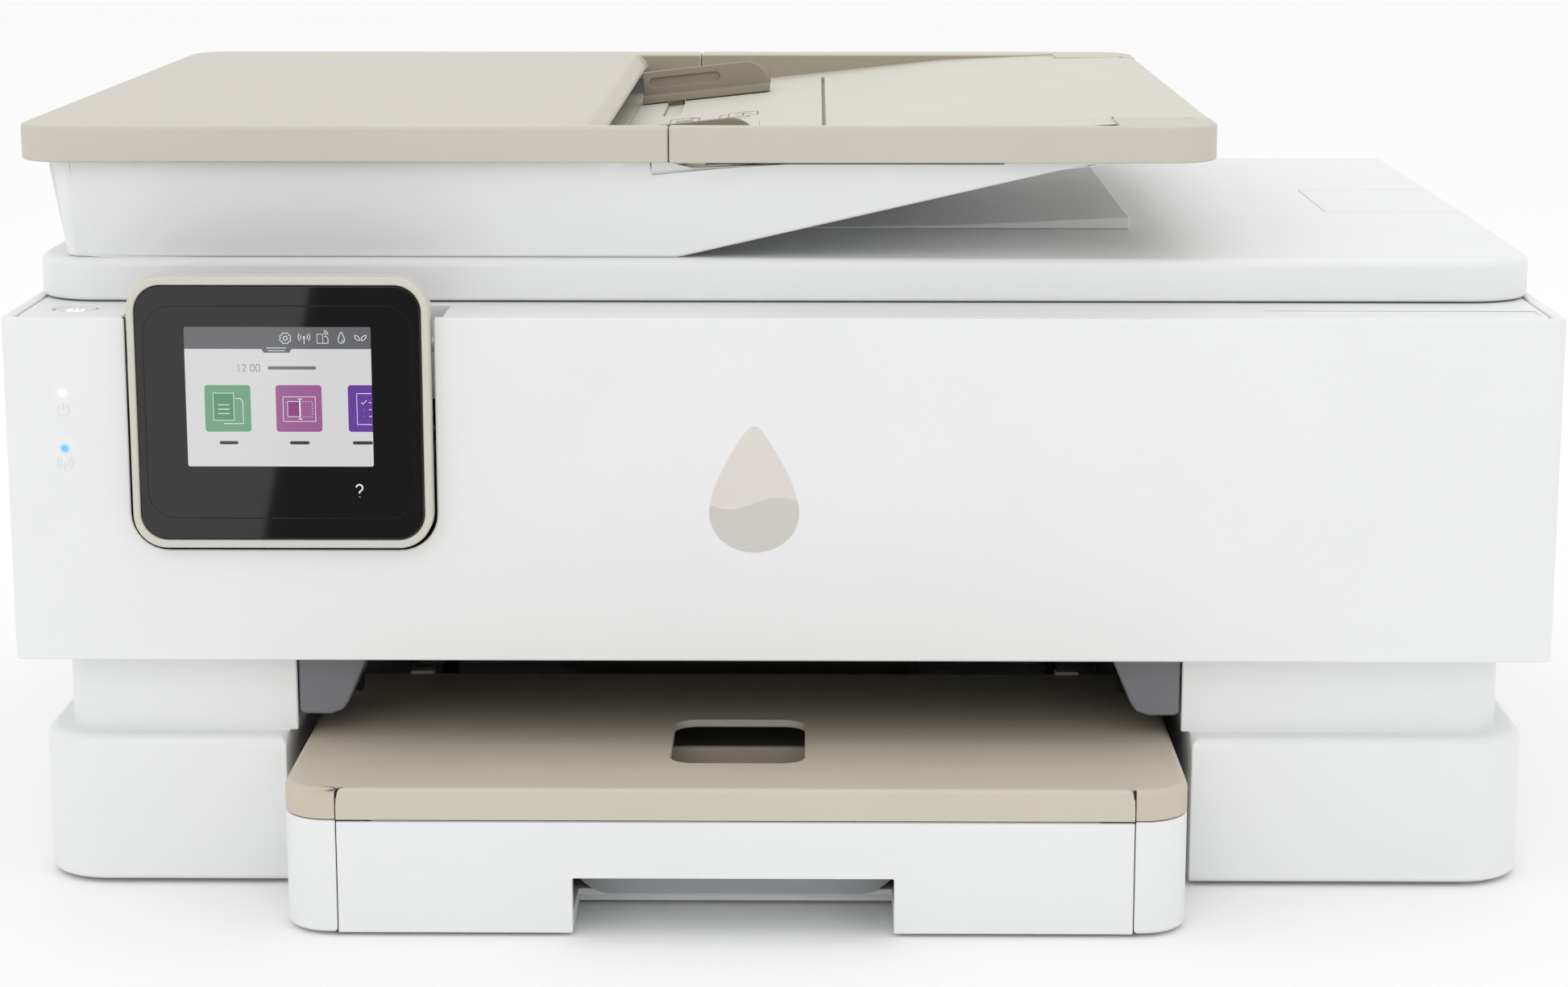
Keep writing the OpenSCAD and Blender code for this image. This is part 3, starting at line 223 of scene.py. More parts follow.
pod_bottom, pod_top = 1.4, 46.5
base = merged_copy("base_housing", "base_shell")
soften_some(base, 3.2, 5, lambda m: abs(m.z - pod_top) < 0.3
            and (abs(m.x) > 219 or m.y < -136))
soften_some(base, 1.6, 4, lambda m: abs(m.z - pod_bottom) < 0.3
            and (abs(m.x) > 205 or m.y < -120))
soften(base, 0.5, 2)
shade(base, white_abs)
stand_for(base, "base_housing")

# ---- Output bay ----
# Grey ABS cheeks hang beside the mouth and steer the pages on to the tray, and each carries a
# small free roller. A black liner behind them keeps the bay dark.

# Same sheen in cool grey; the black one only reads as depth, and it is also painted shade in the
# tray's seams and round the panel opening.
grey_abs = moulded("grey_moulded_abs", "77787D", "717277", 0.45)
black_abs = moulded("black_moulded_abs", "1D1D1B", "171716", 0.5)


def prism(name, outline, low, high, axis="Y"):
    """A closed prism in millimetres: an outline swept along an axis from low to high."""
    turn = {"X": lambda a, b, d: (d, a, b), "Y": lambda a, b, d: (a, d, b),
            "Z": lambda a, b, d: (a, b, d)}[axis]
    form = bmesh.new()
    ends = [[form.verts.new([c * MM for c in turn(a, b, d)]) for a, b in outline]
            for d in (low, high)]
    form.faces.new(ends[0])
    form.faces.new(ends[1][::-1])
    for i in range(len(outline)):
        j = (i + 1) % len(outline)
        form.faces.new((ends[0][j], ends[0][i], ends[1][i], ends[1][j]))
    bmesh.ops.recalc_face_normals(form, faces=form.faces)
    mesh = bpy.data.meshes.new(name)
    form.to_mesh(mesh)
    form.free()
    return into_scene(name, mesh)


def rounded(left, low, right, high, radius, steps=6, only=(1, 1, 1, 1)):
    """A rectangle's outline with round corners, from the lower left one round."""
    corners = ((left, low, 180), (right, low, 270), (right, high, 0), (left, high, 90))
    points = []
    for (x, y, start), keep in zip(corners, only):
        r = radius * keep
        centre = (x + (r if x == left else -r), y + (r if y == low else -r))
        for step in range(steps + 1 if keep else 1):
            turn = math.radians(start + 90 * step / steps)
            points.append((centre[0] + r * math.cos(turn), centre[1] + r * math.sin(turn)))
    return points


def join(piece, other):
    """Merges the other solid into the piece and drops it."""
    union = piece.modifiers.new("union", "BOOLEAN")
    union.operation = "UNION"
    union.object = other
    union.solver = "EXACT"
    bake(piece)
    bpy.data.objects.remove(other)


def cut_by(piece, *tools):
    """Cuts the tools' shapes out of the piece, bakes the result, and drops the tools."""
    for tool in tools:
        cut = piece.modifiers.new("cut", "BOOLEAN")
        cut.object = tool
        cut.solver = "EXACT"
    bake(piece)
    for tool in tools:
        bpy.data.objects.remove(tool)


def dress_faces(piece, finish, test):
    """Gives the faces whose middle (in millimetres) and normal pass the test a second finish."""
    piece.data.materials.append(finish)
    for face in piece.data.polygons:
        if test(face.center / MM, face.normal):
            face.material_index = len(piece.data.materials) - 1


for node, wall, lean in (("left_bay_guide", -147.1, 1), ("right_bay_guide", 120.7, -1)):
    cheek = [(0, 73.8), (0, 52.1), (1.6, 51.3), (9.6, 51.2), (13.4, 52.6), (15.2, 55.4),
             (20.4, 67.6), (20.8, 73.8)]
    cheek = prism(node + "_cheek", [(wall + lean * x, z) for x, z in cheek], -134.5, -99.5)
    soften(cheek, 0.9, 3)
    roller = prism(node + "_roller", rounded(-112, 51.6, -102, 61.6, 4.99, 8),
                   wall + lean * 11.5, wall + lean * 16, "X")
    soften(roller, 0.5, 2)
    shade(roller, soft_rubber)
    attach(roller, "printer_base")
    shade(cheek, grey_abs)
    stand_for(cheek, node)
finish_node("bay_liner", 0.3, black_abs)

# ---- Upper housing ----
# The wide upper shell with its flat front cover and the opening for the control panel. White
# ABS. It snaps over the base, and its edges have a small moulded radius.

fascia = -147.5
upper = merged_copy("upper_housing", "upper_shell")
join(upper, prism("sill", [(-196, 103), (-99, 103), (-99, 117), (-196, 117)],
                  fascia, fascia + 3))
join(upper, prism("jamb", [(-103.5, 110), (-99, 110), (-99, 175), (-103.5, 175)],
                  fascia, fascia + 3))
cut_by(upper, prism("opening", rounded(-193.3, 105.4, -102.4, 190, 11, 8, only=(1, 1, 0, 0)),
                    fascia - 2.5, fascia + 3.5))
soften(upper, 0.7, 3)
shade(upper, white_abs)
# The side faces of the panel opening are painted black: painted shade in the gap round the panel.
dress_faces(upper, black_abs, lambda m, n: fascia + 0.3 < m.y < fascia + 3.5 and abs(n.y) < 0.6
            and -196 < m.x < -102 and 105 < m.z < 175)
stand_for(upper, "upper_housing")

# ---- Front emblem ----
# A plain ink drop in two beige tones in the middle of the front cover. It is thin foil,
# hot-stamped on to the plastic.

# Foil lies flatter than the plastic round it, so it is a little glossier.
beige_foil = moulded("pale_beige_foil", "DCD7D0", "D8D3CC", 0.38, grain=0.8, relief=0.004)
deep_foil = moulded("deep_beige_foil", "CDC9C4", "C8C4BE", 0.38, grain=0.8, relief=0.004)


def drop_outline(x, z, radius, tall, steps=40):
    """An ink drop's outline: a circle drawn out into a point at the top."""
    points = []
    for step in range(steps):
        turn = 2 * math.pi * step / steps
        rise = (1 + math.cos(turn)) / 2
        points.append((x + radius * math.sin(turn) * (1 - 0.55 * rise ** 2.2),
                       z + radius * math.cos(turn) + (tall - 2 * radius) * rise ** 3))
    return points


drop_x, drop_radius = -8.3, 14.6
drop = drop_outline(drop_x, 119.5, drop_radius, 38)
ink = [(x, min(z, 119.6 + 1.8 * math.sin((x - drop_x) / drop_radius * math.pi)))
       for x, z in drop]
emblem = prism("emblem_drop", drop, fascia - 0.12, fascia + 0.1)
shade(emblem, beige_foil)
filled = prism("emblem_ink", ink, fascia - 0.2, fascia + 0.1)
shade(filled, deep_foil)
for foil in (emblem, filled):
    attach(foil, "printer_base")

# ---- Status lights ----
# Two light pipes end just behind the thin front cover, so each shows as a soft glow, white for
# power and blue for the network, with a faint printed symbol under it.


def glow(name, tint, lit):
    """A lit spot under thin plastic: a bright core that fades into the cover's own white."""
    finish = bpy.data.materials.new(name)
    finish.use_nodes = True
    tree = finish.node_tree
    shader = tree.nodes["Principled BSDF"]
    place = add(tree, "ShaderNodeTexCoord").outputs["Object"]
    shift = add(tree, "ShaderNodeVectorMath", [(0, place)], operation="DISTANCE",
                in_1=[c * MM for c in lit])
    fade = add(tree, "ShaderNodeMapRange", [("Value", shift.outputs["Value"])],
               interpolation_type="SMOOTHERSTEP")
    fade.inputs["From Min"].default_value = 0.3 * MM
    fade.inputs["From Max"].default_value = 2.1 * MM
    fade.inputs["To Min"].default_value = 1
    fade.inputs["To Max"].default_value = 0
    tone = add(tree, "ShaderNodeMix", [("Factor", fade.outputs["Result"])], data_type="RGBA")
    tone.inputs["A"].default_value = linear("E9EAEA")
    tone.inputs["B"].default_value = linear(tint)
    tree.links.new(tone.outputs["Result"], shader.inputs["Base Color"])
    shader.inputs["Roughness"].default_value = 0.45
    shader.inputs["Emission Color"].default_value = linear(tint)
    power = add(tree, "ShaderNodeMath", [(0, fade.outputs["Result"])], operation="MULTIPLY",
                in_1=0.05)
    tree.links.new(power.outputs["Value"], shader.inputs["Emission Strength"])
    return finish


def drawn(name, paths, width, finish, place, flat=0.06):
    """Thin printed lines of this width, along paths of points or closed loops, as one piece."""
    curve = bpy.data.curves.new(name, "CURVE")
    curve.dimensions = "3D"
    curve.bevel_depth = width / 2 * MM
    curve.bevel_resolution = 1
    curve.use_fill_caps = True
    for path in paths:
        line = curve.splines.new("POLY")
        closed = path[0] == path[-1] and len(path) > 2
        path = path[:-1] if closed else path
        line.points.add(len(path) - 1)
        line.use_cyclic_u = closed
        for point, (a, b) in zip(line.points, path):
            point.co = (a * MM, 0, b * MM, 1)
    drawing = into_scene(name + "_line", curve)
    seen = drawing.evaluated_get(bpy.context.evaluated_depsgraph_get())
    mesh = bpy.data.meshes.new_from_object(seen)
    bpy.data.objects.remove(drawing)
    for vertex in mesh.vertices:
        vertex.co = place @ Vector((vertex.co.x, vertex.co.y * 2 * flat / width, vertex.co.z))
    piece = into_scene(name, mesh)
    shade(piece, finish)
    return piece


def arc(x, z, radius, start, stop, steps=14):
    """Points round part of a circle, in degrees from the X axis."""
    return [(x + radius * math.cos(math.radians(start + (stop - start) * i / steps)),
             z + radius * math.sin(math.radians(start + (stop - start) * i / steps)))
            for i in range(steps + 1)]


def upright(depth):
    """Places a drawing on a wall that faces the front, at this depth in millimetres."""
    return Matrix.Translation((0, depth * MM, 0))


light_x = -212.3
# Pad-printed ink, barely darker than the cover.
print_grey = moulded("pale_grey_print", "DCDFDF", "D8DBDB", 0.5)
finish_node("status_lights", 0.2, white_abs)
for name, tint, height in (("power_glow", "FFFFFF", 152.6), ("network_glow", "5FC8FF", 135.9)):
    spot = prism(name, arc(light_x, height, 3.5, 0, 360, 32)[:-1], fascia - 0.03, fascia + 0.05)
    shade(spot, glow(name + "_through_plastic", tint, (light_x, fascia, height)))
    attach(spot, "printer_base")
symbols = drawn("status_symbols", [
    arc(light_x, 147.4, 1.7, 125, 415), [(light_x, 147.6), (light_x, 149.6)],
    [(light_x, 129.4), (light_x, 131.6)], arc(light_x, 131.6, 1.3, -50, 50),
    arc(light_x, 131.6, 1.3, 130, 230), arc(light_x, 131.6, 2.3, -50, 50),
    arc(light_x, 131.6, 2.3, 130, 230)], 0.35, print_grey, upright(fascia - 0.02))
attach(symbols, "printer_base")

# ---- Rear cover, vents and screws ----
# A screwed plate closes the back above the tray. White ABS with moulded vent louvres and a row
# of stiffening ribs; the screws are pan heads in zinc-plated steel, stamped with a cross.


def metal(name, light, dark, rough, streak=0.6, along=(1, 1, 1)):
    """Bare or plated metal with fine streaks left by rolling, drawing or grinding."""
    finish = bpy.data.materials.new(name)
    finish.use_nodes = True
    tree = finish.node_tree
    tree.nodes.clear()
    place = add(tree, "ShaderNodeTexCoord").outputs["Object"]
    stretch = add(tree, "ShaderNodeMapping", [("Vector", place)])
    stretch.inputs["Scale"].default_value = along
    lines = add(tree, "ShaderNodeTexNoise", [("Vector", stretch.outputs["Vector"])])
    lines.inputs["Scale"].default_value = 1 / (streak * MM)
    lines.inputs["Detail"].default_value = 4
    tone = add(tree, "ShaderNodeMix", [("Factor", lines.outputs["Fac"])], data_type="RGBA")
    tone.inputs["A"].default_value = linear(dark)
    tone.inputs["B"].default_value = linear(light)
    spread = add(tree, "ShaderNodeMapRange", [("Value", lines.outputs["Fac"])])
    spread.inputs["To Min"].default_value = rough - 0.06
    spread.inputs["To Max"].default_value = rough + 0.08
    shader = add(tree, "ShaderNodeBsdfPrincipled", [
        ("Base Color", tone.outputs["Result"]), ("Roughness", spread.outputs["Result"])])
    shader.inputs["Metallic"].default_value = 1
    add(tree, "ShaderNodeOutputMaterial", [("Surface", shader.outputs["BSDF"])])
    return finish


def laid_out(name, unit, places, finish, size=1.0):
    """Copies of one small piece at these places in millimetres, by Geometry Nodes, as one mesh."""
    mesh = bpy.data.meshes.new(name)
    mesh.from_pydata([[c * MM for c in place] for place in places], [], [])
    piece = into_scene(name, mesh)
    tree = bpy.data.node_groups.new(name + "_layout", "GeometryNodeTree")
    tree.interface.new_socket("Geometry", in_out="INPUT", socket_type="NodeSocketGeometry")
    tree.interface.new_socket("Geometry", in_out="OUTPUT", socket_type="NodeSocketGeometry")
    unit_in = tree.interface.new_socket("Unit", in_out="INPUT", socket_type="NodeSocketObject")
    size_in = tree.interface.new_socket("Size", in_out="INPUT", socket_type="NodeSocketFloat")
    given = add(tree, "NodeGroupInput")
    one = add(tree, "GeometryNodeObjectInfo", [("Object", given.outputs["Unit"])])
    spread = add(tree, "GeometryNodeInstanceOnPoints", [
        ("Points", given.outputs["Geometry"]), ("Instance", one.outputs["Geometry"]),
        ("Scale", given.outputs["Size"])])
    whole = add(tree, "GeometryNodeRealizeInstances",
                [("Geometry", spread.outputs["Instances"])])
    dressed = add(tree, "GeometryNodeSetMaterial", [("Geometry", whole.outputs["Geometry"])])
    dressed.inputs["Material"].default_value = finish
    add(tree, "NodeGroupOutput", [("Geometry", dressed.outputs["Geometry"])])
    layout = piece.modifiers.new("layout", "NODES")
    layout.node_group = tree
    layout[unit_in.identifier] = unit
    layout[size_in.identifier] = size
    bake(piece)
    bpy.data.objects.remove(unit)
    shade(piece, finish)
    return piece


def turned(name, profile, steps=32, axis="Y"):
    """A lathe-turned closed solid: (radius, along) points in millimetres about an axis."""
    form = bmesh.new()
    rings = []
    for radius, along in profile:
        ring = []
        for step in range(steps if radius else 1):
            turn = 2 * math.pi * step / steps
            a, b = radius * math.cos(turn), radius * math.sin(turn)
            at = {"X": (along, a, b), "Y": (a, along, b), "Z": (a, b, along)}[axis]
            ring.append(form.verts.new([c * MM for c in at]))
        rings.append(ring)
    for low, high in zip(rings, rings[1:]):
        for i in range(steps):
            j = (i + 1) % steps
            quad = [low[i % len(low)], low[j % len(low)], high[j % len(high)],
                    high[i % len(high)]]
            form.faces.new(list(dict.fromkeys(quad)))
    bmesh.ops.recalc_face_normals(form, faces=form.faces)
    mesh = bpy.data.meshes.new(name)
    form.to_mesh(mesh)
    form.free()
    return into_scene(name, mesh)


# Zinc plating blurs reflections into grey patches; grinding leaves fine lines along the rod.
zinc = metal("zinc_plated_steel", "B9BBBD", "A3A5A8", 0.38, 1.5)
ground_steel = metal("ground_steel", "C9CBCD", "B7B9BC", 0.18, 0.5, (0.05, 1, 1))

screw = turned("screw", [(0, -9), (1.2, -8.4), (1.4, -8), (1.4, 0), (3.05, 0), (3.1, 0.35),
                         (2.9, 0.9), (2.4, 1.25), (1.6, 1.45), (0, 1.5)])
cross = [prism("bar", [(-a, -b), (a, -b), (a, b), (-a, b)], 0.6, 2)
         for a, b in ((1.9, 0.4), (0.4, 1.9))]
cut_by(screw, *cross)
screws = laid_out("cover_screws", screw, [(x, 189.9, z) for x in (-220, 220)
                                          for z in (83.4, 130)], zinc)
stand_for(screws, "housing_screws")

back = merged_copy("rear_cover", "back_plate")
louvres = [prism("slot", rounded(x, 88, x + 3, 110, 1.49), 190.6, 193)
           for x in range(84, 186, 6)]
cut_by(back, *louvres)
soften(back, 0.35, 2)
shade(back, white_abs)
stand_for(back, "rear_cover")
rib = prism("rib", rounded(-1, -9, 1, 9, 0.9), -0.3, 0.9)
soften(rib, 0.25, 2)
ribs = laid_out("back_ribs", rib, [(x, 190.8, 101) for x in range(-182, -88, 8)], white_abs)
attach(ribs, "printer_base")

# ---- Chassis and sockets ----
# A folded steel frame carries the mechanism. It is zinc plated, and so are the hinge ears and
# the shell of the socket for the data cable. The mains inlet is black nylon.

for node, width in (("chassis_frame", 0.15), ("usb_port", 0.15), ("access_hinges", 0.3)):
    finish_node(node, width, zinc)
# Dark grey plastic: satin, just light enough to show its edges.
dark_abs = moulded("dark_grey_moulded_abs", "3A3B3E", "333437", 0.48)
finish_node("power_inlet", 0.3, black_abs)

# ---- Carriage rod, motors and belt ----
# The rod is ground steel and the motors' cans are drawn steel. The belt is black polyurethane
# with teeth inside, and runs on two small acetal pulleys.

for node, width in (("carriage_rod", 0.5), ("carriage_motor", 0.6), ("feed_motor", 0.6)):
    finish_node(node, width, ground_steel)
# Undyed acetal is a waxy cream.
acetal = moulded("natural_acetal", "DCD5BE", "D2CBB3", 0.4)
for node in ("drive_pulley", "idler_pulley", "motor_pinion"):
    finish_node(node, 0.12, acetal)
finish_node("carriage_belt", 0.1, soft_rubber, steps=1)
belt_low, belt_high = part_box("carriage_belt")
belt_y = 72.5
tooth_pitch = 2.5
first, last = belt_low[0] / MM + 8, belt_high[0] / MM - 8
tooth = prism("tooth", [(-0.4, -0.5), (0.4, -0.5), (0.25, 0.2), (-0.25, 0.2)],
              belt_low[1] / MM + 0.3 - belt_y, belt_high[1] / MM - 0.3 - belt_y)
runs = [(first + tooth_pitch * i, belt_y, belt_low[2] / MM + 1.35)
        for i in range(int((last - first) / tooth_pitch))]
teeth = laid_out("belt_teeth", tooth, runs, soft_rubber)
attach(teeth, "printer_base")

# ---- Ink carriage and cartridges ----
# A dark ABS carriage slides on the rod and holds two cartridges, one black and one with three
# colours, each with a plain coloured latch.

finish_node("ink_carriage", 0.4, dark_abs)
finish_node("black_cartridge", 0.5, black_abs)
finish_node("colour_cartridge", 0.5, grey_abs)
low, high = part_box("colour_cartridge")
for share, name, tone in ((0.25, "cyan", "2C9CC9"), (0.5, "magenta", "B93F86"),
                          (0.75, "yellow", "E0C23A")):
    across = (low[0] + (high[0] - low[0]) * share) / MM
    spot = turned(name + "_mark", [(0, 0), (2.2, 0), (2.2, 0.25), (1.9, 0.4), (0, 0.4)],
                  24, "Z")
    for vertex in spot.data.vertices:
        vertex.co += Vector((across * MM, (low[1] + high[1]) / 2, high[2] - 0.1 * MM))
    shade(spot, moulded(name + "_ink_print", tone, tone, 0.4))
    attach(spot, frame["nodes"]["colour_cartridge"]["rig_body"])

# ---- Rollers ----
# Dark moulded rollers with soft rubber where they grip the paper. The pickup roller swings on
# a sprung arm.

for node in ("feed_roller", "output_roller", "pickup_arm", "platen", "service_station"):
    finish_node(node, 0.25, dark_abs)
finish_node("pickup_roller", 0.6, soft_rubber)

# ---- Electronics ----
# The main board and the power supply, fixed to the chassis. The board is glass fibre under
# green solder mask, and the supply sits in a dark ABS case.

# Solder mask is a thin glossy lacquer with darker patches, as over copper.
board = moulded("green_solder_mask", "1D5A38", "17492D", 0.35, grain=1.5)
finish_node("main_board", 0.1, board, steps=1)
finish_node("power_supply", 0.6, dark_abs)

# ---- Scanner bed ----
# The upper deck with the flatbed glass. White ABS in one moulding; a shallow grip on the right
# ledge lets a hand lift the unit off the ink bay.

bed = merged_copy("scanner_bed", "bed_shell")
grip = prism("grip", [(143, -129.2), (149, -140.8), (224, -140.8), (224, -129.2)], 174.3, 176,
             "Z")
cut_by(bed, grip)
soften(bed, 0.55, 3)
shade(bed, white_abs)
stand_for(bed, "scanner_bed")

# Float glass over a dark bay: grey-blue, with a sharp highlight.
scan_glass = moulded("flatbed_glass", "5A6468", "566064", 0.05, relief=0.0003)
finish_node("scanner_glass", 0.2, scan_glass)
finish_node("lid_hinges", 0.4, white_abs)
finish_node("scan_rail", 0.4, ground_steel)
finish_node("scan_bar", 0.4, black_abs)

# ---- Power button ----
# A round white ABS key with a shallow dish, in the left ledge. Its printed symbol is lit from
# below.

button = turned("power_key", [(0, -3), (6.2, -3), (6.2, -0.1), (5.9, 0.25), (5.2, 0.22),
                              (3.5, -0.12), (0, -0.3)], 56, "Z")
low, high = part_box("power_button")
for vertex in button.data.vertices:
    vertex.co += Vector(((low[0] + high[0]) / 2, (low[1] + high[1]) / 2, high[2] - 0.25 * MM))
# A polished mould makes the key smoother than the ledge round it.
button_satin = moulded("satin_white_key", "E2E4E4", "DEE0E0", 0.3)
shade(button, button_satin)
stand_for(button, "power_button")
# A lamp shines through the thin symbol, slightly unevenly.
lit_white = bpy.data.materials.new("lit_white_symbol")
lit_white.use_nodes = True
place = add(lit_white.node_tree, "ShaderNodeTexCoord").outputs["Object"]
flicker = add(lit_white.node_tree, "ShaderNodeTexNoise", [("Vector", place)])
flicker.inputs["Scale"].default_value = 1 / (1.25 * MM)
spread = add(lit_white.node_tree, "ShaderNodeMapRange", [("Value", flicker.outputs["Fac"])])
spread.inputs["To Min"].default_value = 0.9
spread.inputs["To Max"].default_value = 1.1
lit_shader = lit_white.node_tree.nodes["Principled BSDF"]
lit_shader.inputs["Emission Color"].default_value = (1, 1, 1, 1)
lit_white.node_tree.links.new(spread.outputs["Result"], lit_shader.inputs["Emission Strength"])
centre = Vector(((low[0] + high[0]) / 2, (low[1] + high[1]) / 2, high[2] - 0.42 * MM))
symbol = drawn("power_symbol", [arc(0, 0, 2.4, 125, 415), [(0, 0.3), (0, 3.1)]], 0.6,
               lit_white, Matrix.Translation(centre) @ Matrix.Rotation(math.radians(-90), 4,
                                                                       "X"), 0.1)
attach(symbol, "power_button")

# ---- Scanner lid ----
# A hollow white ABS lid on two rear hinges, with a generous radius round its top edge, and a
# flush service cover let into the right end.

lid_bottom, lid_top = 175.5, 188.4
lid = merged_copy("scanner_lid", "lid_shell")
seam = prism("seam", rounded(181, 5.7, 229, 73.9, 3, only=(1, 0, 0, 1)), 187.9, 190, "Z")
island = prism("island", rounded(181.5, 6.2, 230, 73.4, 2.6, only=(1, 0, 0, 1)), 187, 191, "Z")
cut_by(seam, island)
cut_by(lid, seam)
soften_some(lid, 2.8, 6, lambda m: abs(m.z - lid_top) < 0.2
            and (m.y < -110 or abs(m.x) > 215) and m.y < 175)
soften_some(lid, 1.1, 3, lambda m: abs(m.z - lid_bottom) < 0.2
            and (m.y < -100 or abs(m.x) > 215) and m.y < 175)
shade(lid, white_abs)
stand_for(lid, "scanner_lid")

# ---- Lid pad ----
# A white foam pad, skinned with film, presses the page on the glass. It is stuck under the
# lid.

# Film over foam: nearly white and dull, with a coarse dimple.
foam = moulded("white_foam_pad", "E9EAE8", "DFE0DE", 0.7, grain=1.2, relief=0.06)
finish_node("lid_pad", 1.0, foam, steps=3)

# ---- Output ramp ----
# A thin raised ramp on the lid that lifts the fed pages' outer end. It is moulded in the lid's
# white ABS.

finish_node("output_ramp", 0.5, white_abs)

# ---- Feeder base ----
# The housing under the document feeder, moulded in white ABS and fixed on the lid. Its walls
# lean in towards the lid, and it ends in a long wedge over the output ramp.

wall_tall, wall_top, front_lean = 29.8, 218.15, 6.4
feeder_base = merged_copy("feeder_base", "feeder_base_shell")
for vertex in feeder_base.data.vertices:
    x, y, z = vertex.co / MM
    share = (z - lid_top) / wall_tall
    if y < -112:
        vertex.co.y += front_lean * (1 - share) * MM
    if x < -214 and z < 218.3:
        vertex.co.x += (2.2 - 4.6 * share) * MM
    if 217.6 < z < 218.1:
        vertex.co.z = wall_top * MM
soften_some(feeder_base, 1.0, 3, lambda m: m.z < 217 and (m.y < -112 or m.x < -212))
shade(feeder_base, white_abs)
stand_for(feeder_base, "feeder_base")

# ---- Feeder cover ----
# The beige cover over the feeder's rollers, which lifts to clear a jam. Warm beige ABS with a
# fine spark-eroded texture and soft moulded edges.

# Warm beige plastic with the satin grain; the recess floor is paler, its walls are painted darker
# as the shade in the recess, and the guides are a deep taupe.
beige_abs = moulded("warm_beige_moulded_abs", "C9C4B8", "C2BDB0", 0.5, grain=0.35, relief=0.02)
pale_beige = moulded("pale_beige_moulded_abs", "D0CDC2", "CBC8BC", 0.5, grain=0.35, relief=0.02)
taupe_abs = moulded("taupe_moulded_abs", "978F7E", "8F8776", 0.5)
recess_shade_beige = moulded("shaded_beige_moulded_abs", "A59D8B", "9F9785", 0.55)


def in_recess(middle, normal):
    """True on the two long walls of the paper recess, which get the painted shade."""
    return (abs(normal.y) > 0.8 and middle.x > -56 and -119.5 < middle.y < 173
            and middle.z > 214 and middle.x < 104 and (middle.y > 171 or middle.y < -117.5))


cover = merged_copy("feeder_cover", "feeder_cover_shell")
soften(cover, 0.9, 3)
shade(cover, beige_abs)
# The recess walls are painted darker: painted shade.
dress_faces(cover, recess_shade_beige, in_recess)
stand_for(cover, "feeder_cover")

# ---- Feeder tray ----
# The sloping paper tray of the feeder, moulded in beige ABS in one with its rim, with a
# lead-in under the cover's lip.

feeder_tray = merged_copy("feeder_tray", "feeder_tray_shell")
relief = prism("relief", [(118.5, -93.1), (132, -93.1), (132, 158.4), (118.5, 158.4)],
               222.4, 226, "Z")
cut_by(feeder_tray, relief)
for vertex in feeder_tray.data.vertices:
    if vertex.co.z < 0.2178 and vertex.co.y < -0.11:
        vertex.co.y = max(vertex.co.y, -0.1165)
soften(feeder_tray, 0.7, 3)
shade(feeder_tray, beige_abs)
dress_faces(feeder_tray, pale_beige, lambda m, n: n.z > 0.8 and -118 < m.y < 171.5
            and -56 < m.x < 101)
# The recess walls are painted darker: painted shade.
dress_faces(feeder_tray, recess_shade_beige, in_recess)
stand_for(feeder_tray, "feeder_tray")
lead_in = prism("tray_lead_in", [(-69, 211.9), (-69, 213.1), (-54.9, 214.6), (-54.9, 212.9)],
                -116.4, 171.5)
soften(lead_in, 0.3, 2)
shade(lead_in, pale_beige)
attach(lead_in, "scanner_lid")
for name, low, high in (("front_slot_bed", -112.4, -44.2), ("rear_slot_bed", 57.2, 131.8)):
    bed_strip = prism(name, [(-43.8, 213.2), (-43.8, 214.4), (-38.2, 215.0), (-38.2, 213.8)],
                      low, high)
    shade(bed_strip, pale_beige)
    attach(bed_strip, "scanner_lid")


def on_floor(x, y):
    """Places a drawing flat on the sloping floor of the feeder, its top towards the back."""
    rise, run = 12.1, 113
    slope = math.atan(rise / run)
    height = 214.6 + (x + 55) * rise / run + 0.02
    return (Matrix.Translation((x * MM, y * MM, height * MM))
            @ Matrix.Rotation(-slope, 4, "Y") @ Matrix.Rotation(math.radians(-90), 4, "X"))


page = [(-5, -8), (5, -8), (5, 5), (2, 8), (-5, 8), (-5, -8)]
fold = [(2, 8), (2, 5), (5, 5)]
lines = [[(-3, y), (3, y)] for y in (-5, -2, 1)]
single = drawn("page_up_symbol", [page, fold] + lines, 0.45, black_abs, on_floor(-35, 29))
pair = drawn("page_pair_symbol", [
    page, [(-5, 3), (-8, 3), (-8, -13), (2, -13), (2, -8)], [(-3, 0), (0, 3), (3, 0)],
    [(0, 3), (0, -5)]], 0.45, black_abs, on_floor(-15, 31))
for print_ in (single, pair):
    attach(print_, "scanner_lid")

# ---- Fold-out flap ----
# The outer half of the tray, in beige ABS, folds out for long pages on a hinge at the right.
# Its end closes the rim flush.

flap = merged_copy("tray_flap", "flap_leaf")
tail = prism("flap_tail", [(124.6, 226.2), (129.9, 226.9), (130.1, 227.6), (129.6, 228.9),
                           (124.6, 228.95)], -92.7, 158)
join(flap, tail)
soften(flap, 0.3, 2)
shade(flap, pale_beige)
stand_for(flap, "tray_flap")

# ---- Paper guides ----
# Two upright taupe ABS guides slide together across the feeder. The rear one has a long recess
# for the fingertip.

guide_end = -53.5
for node in ("rear_feed_guide", "front_feed_guide"):
    guide = merged_copy(node, node + "_plate")
    for vertex in guide.data.vertices:
        vertex.co.x = max(vertex.co.x, guide_end * MM)
    if node == "rear_feed_guide":
        slot = (arc(-49.5, 222.6, 1.7, 96, 276, 12) + arc(-27, 225.0, 1.7, -84, 96, 12))
        cut_by(guide, prism("recess", slot, 116, 118.1))
    soften(guide, 0.3, 2)
    shade(guide, taupe_abs)
    stand_for(guide, node)

# ---- Feeder rollers ----
# Rollers with moulded rubber tyres that pull the pages in. The cover carries one and the base
# carries the other.

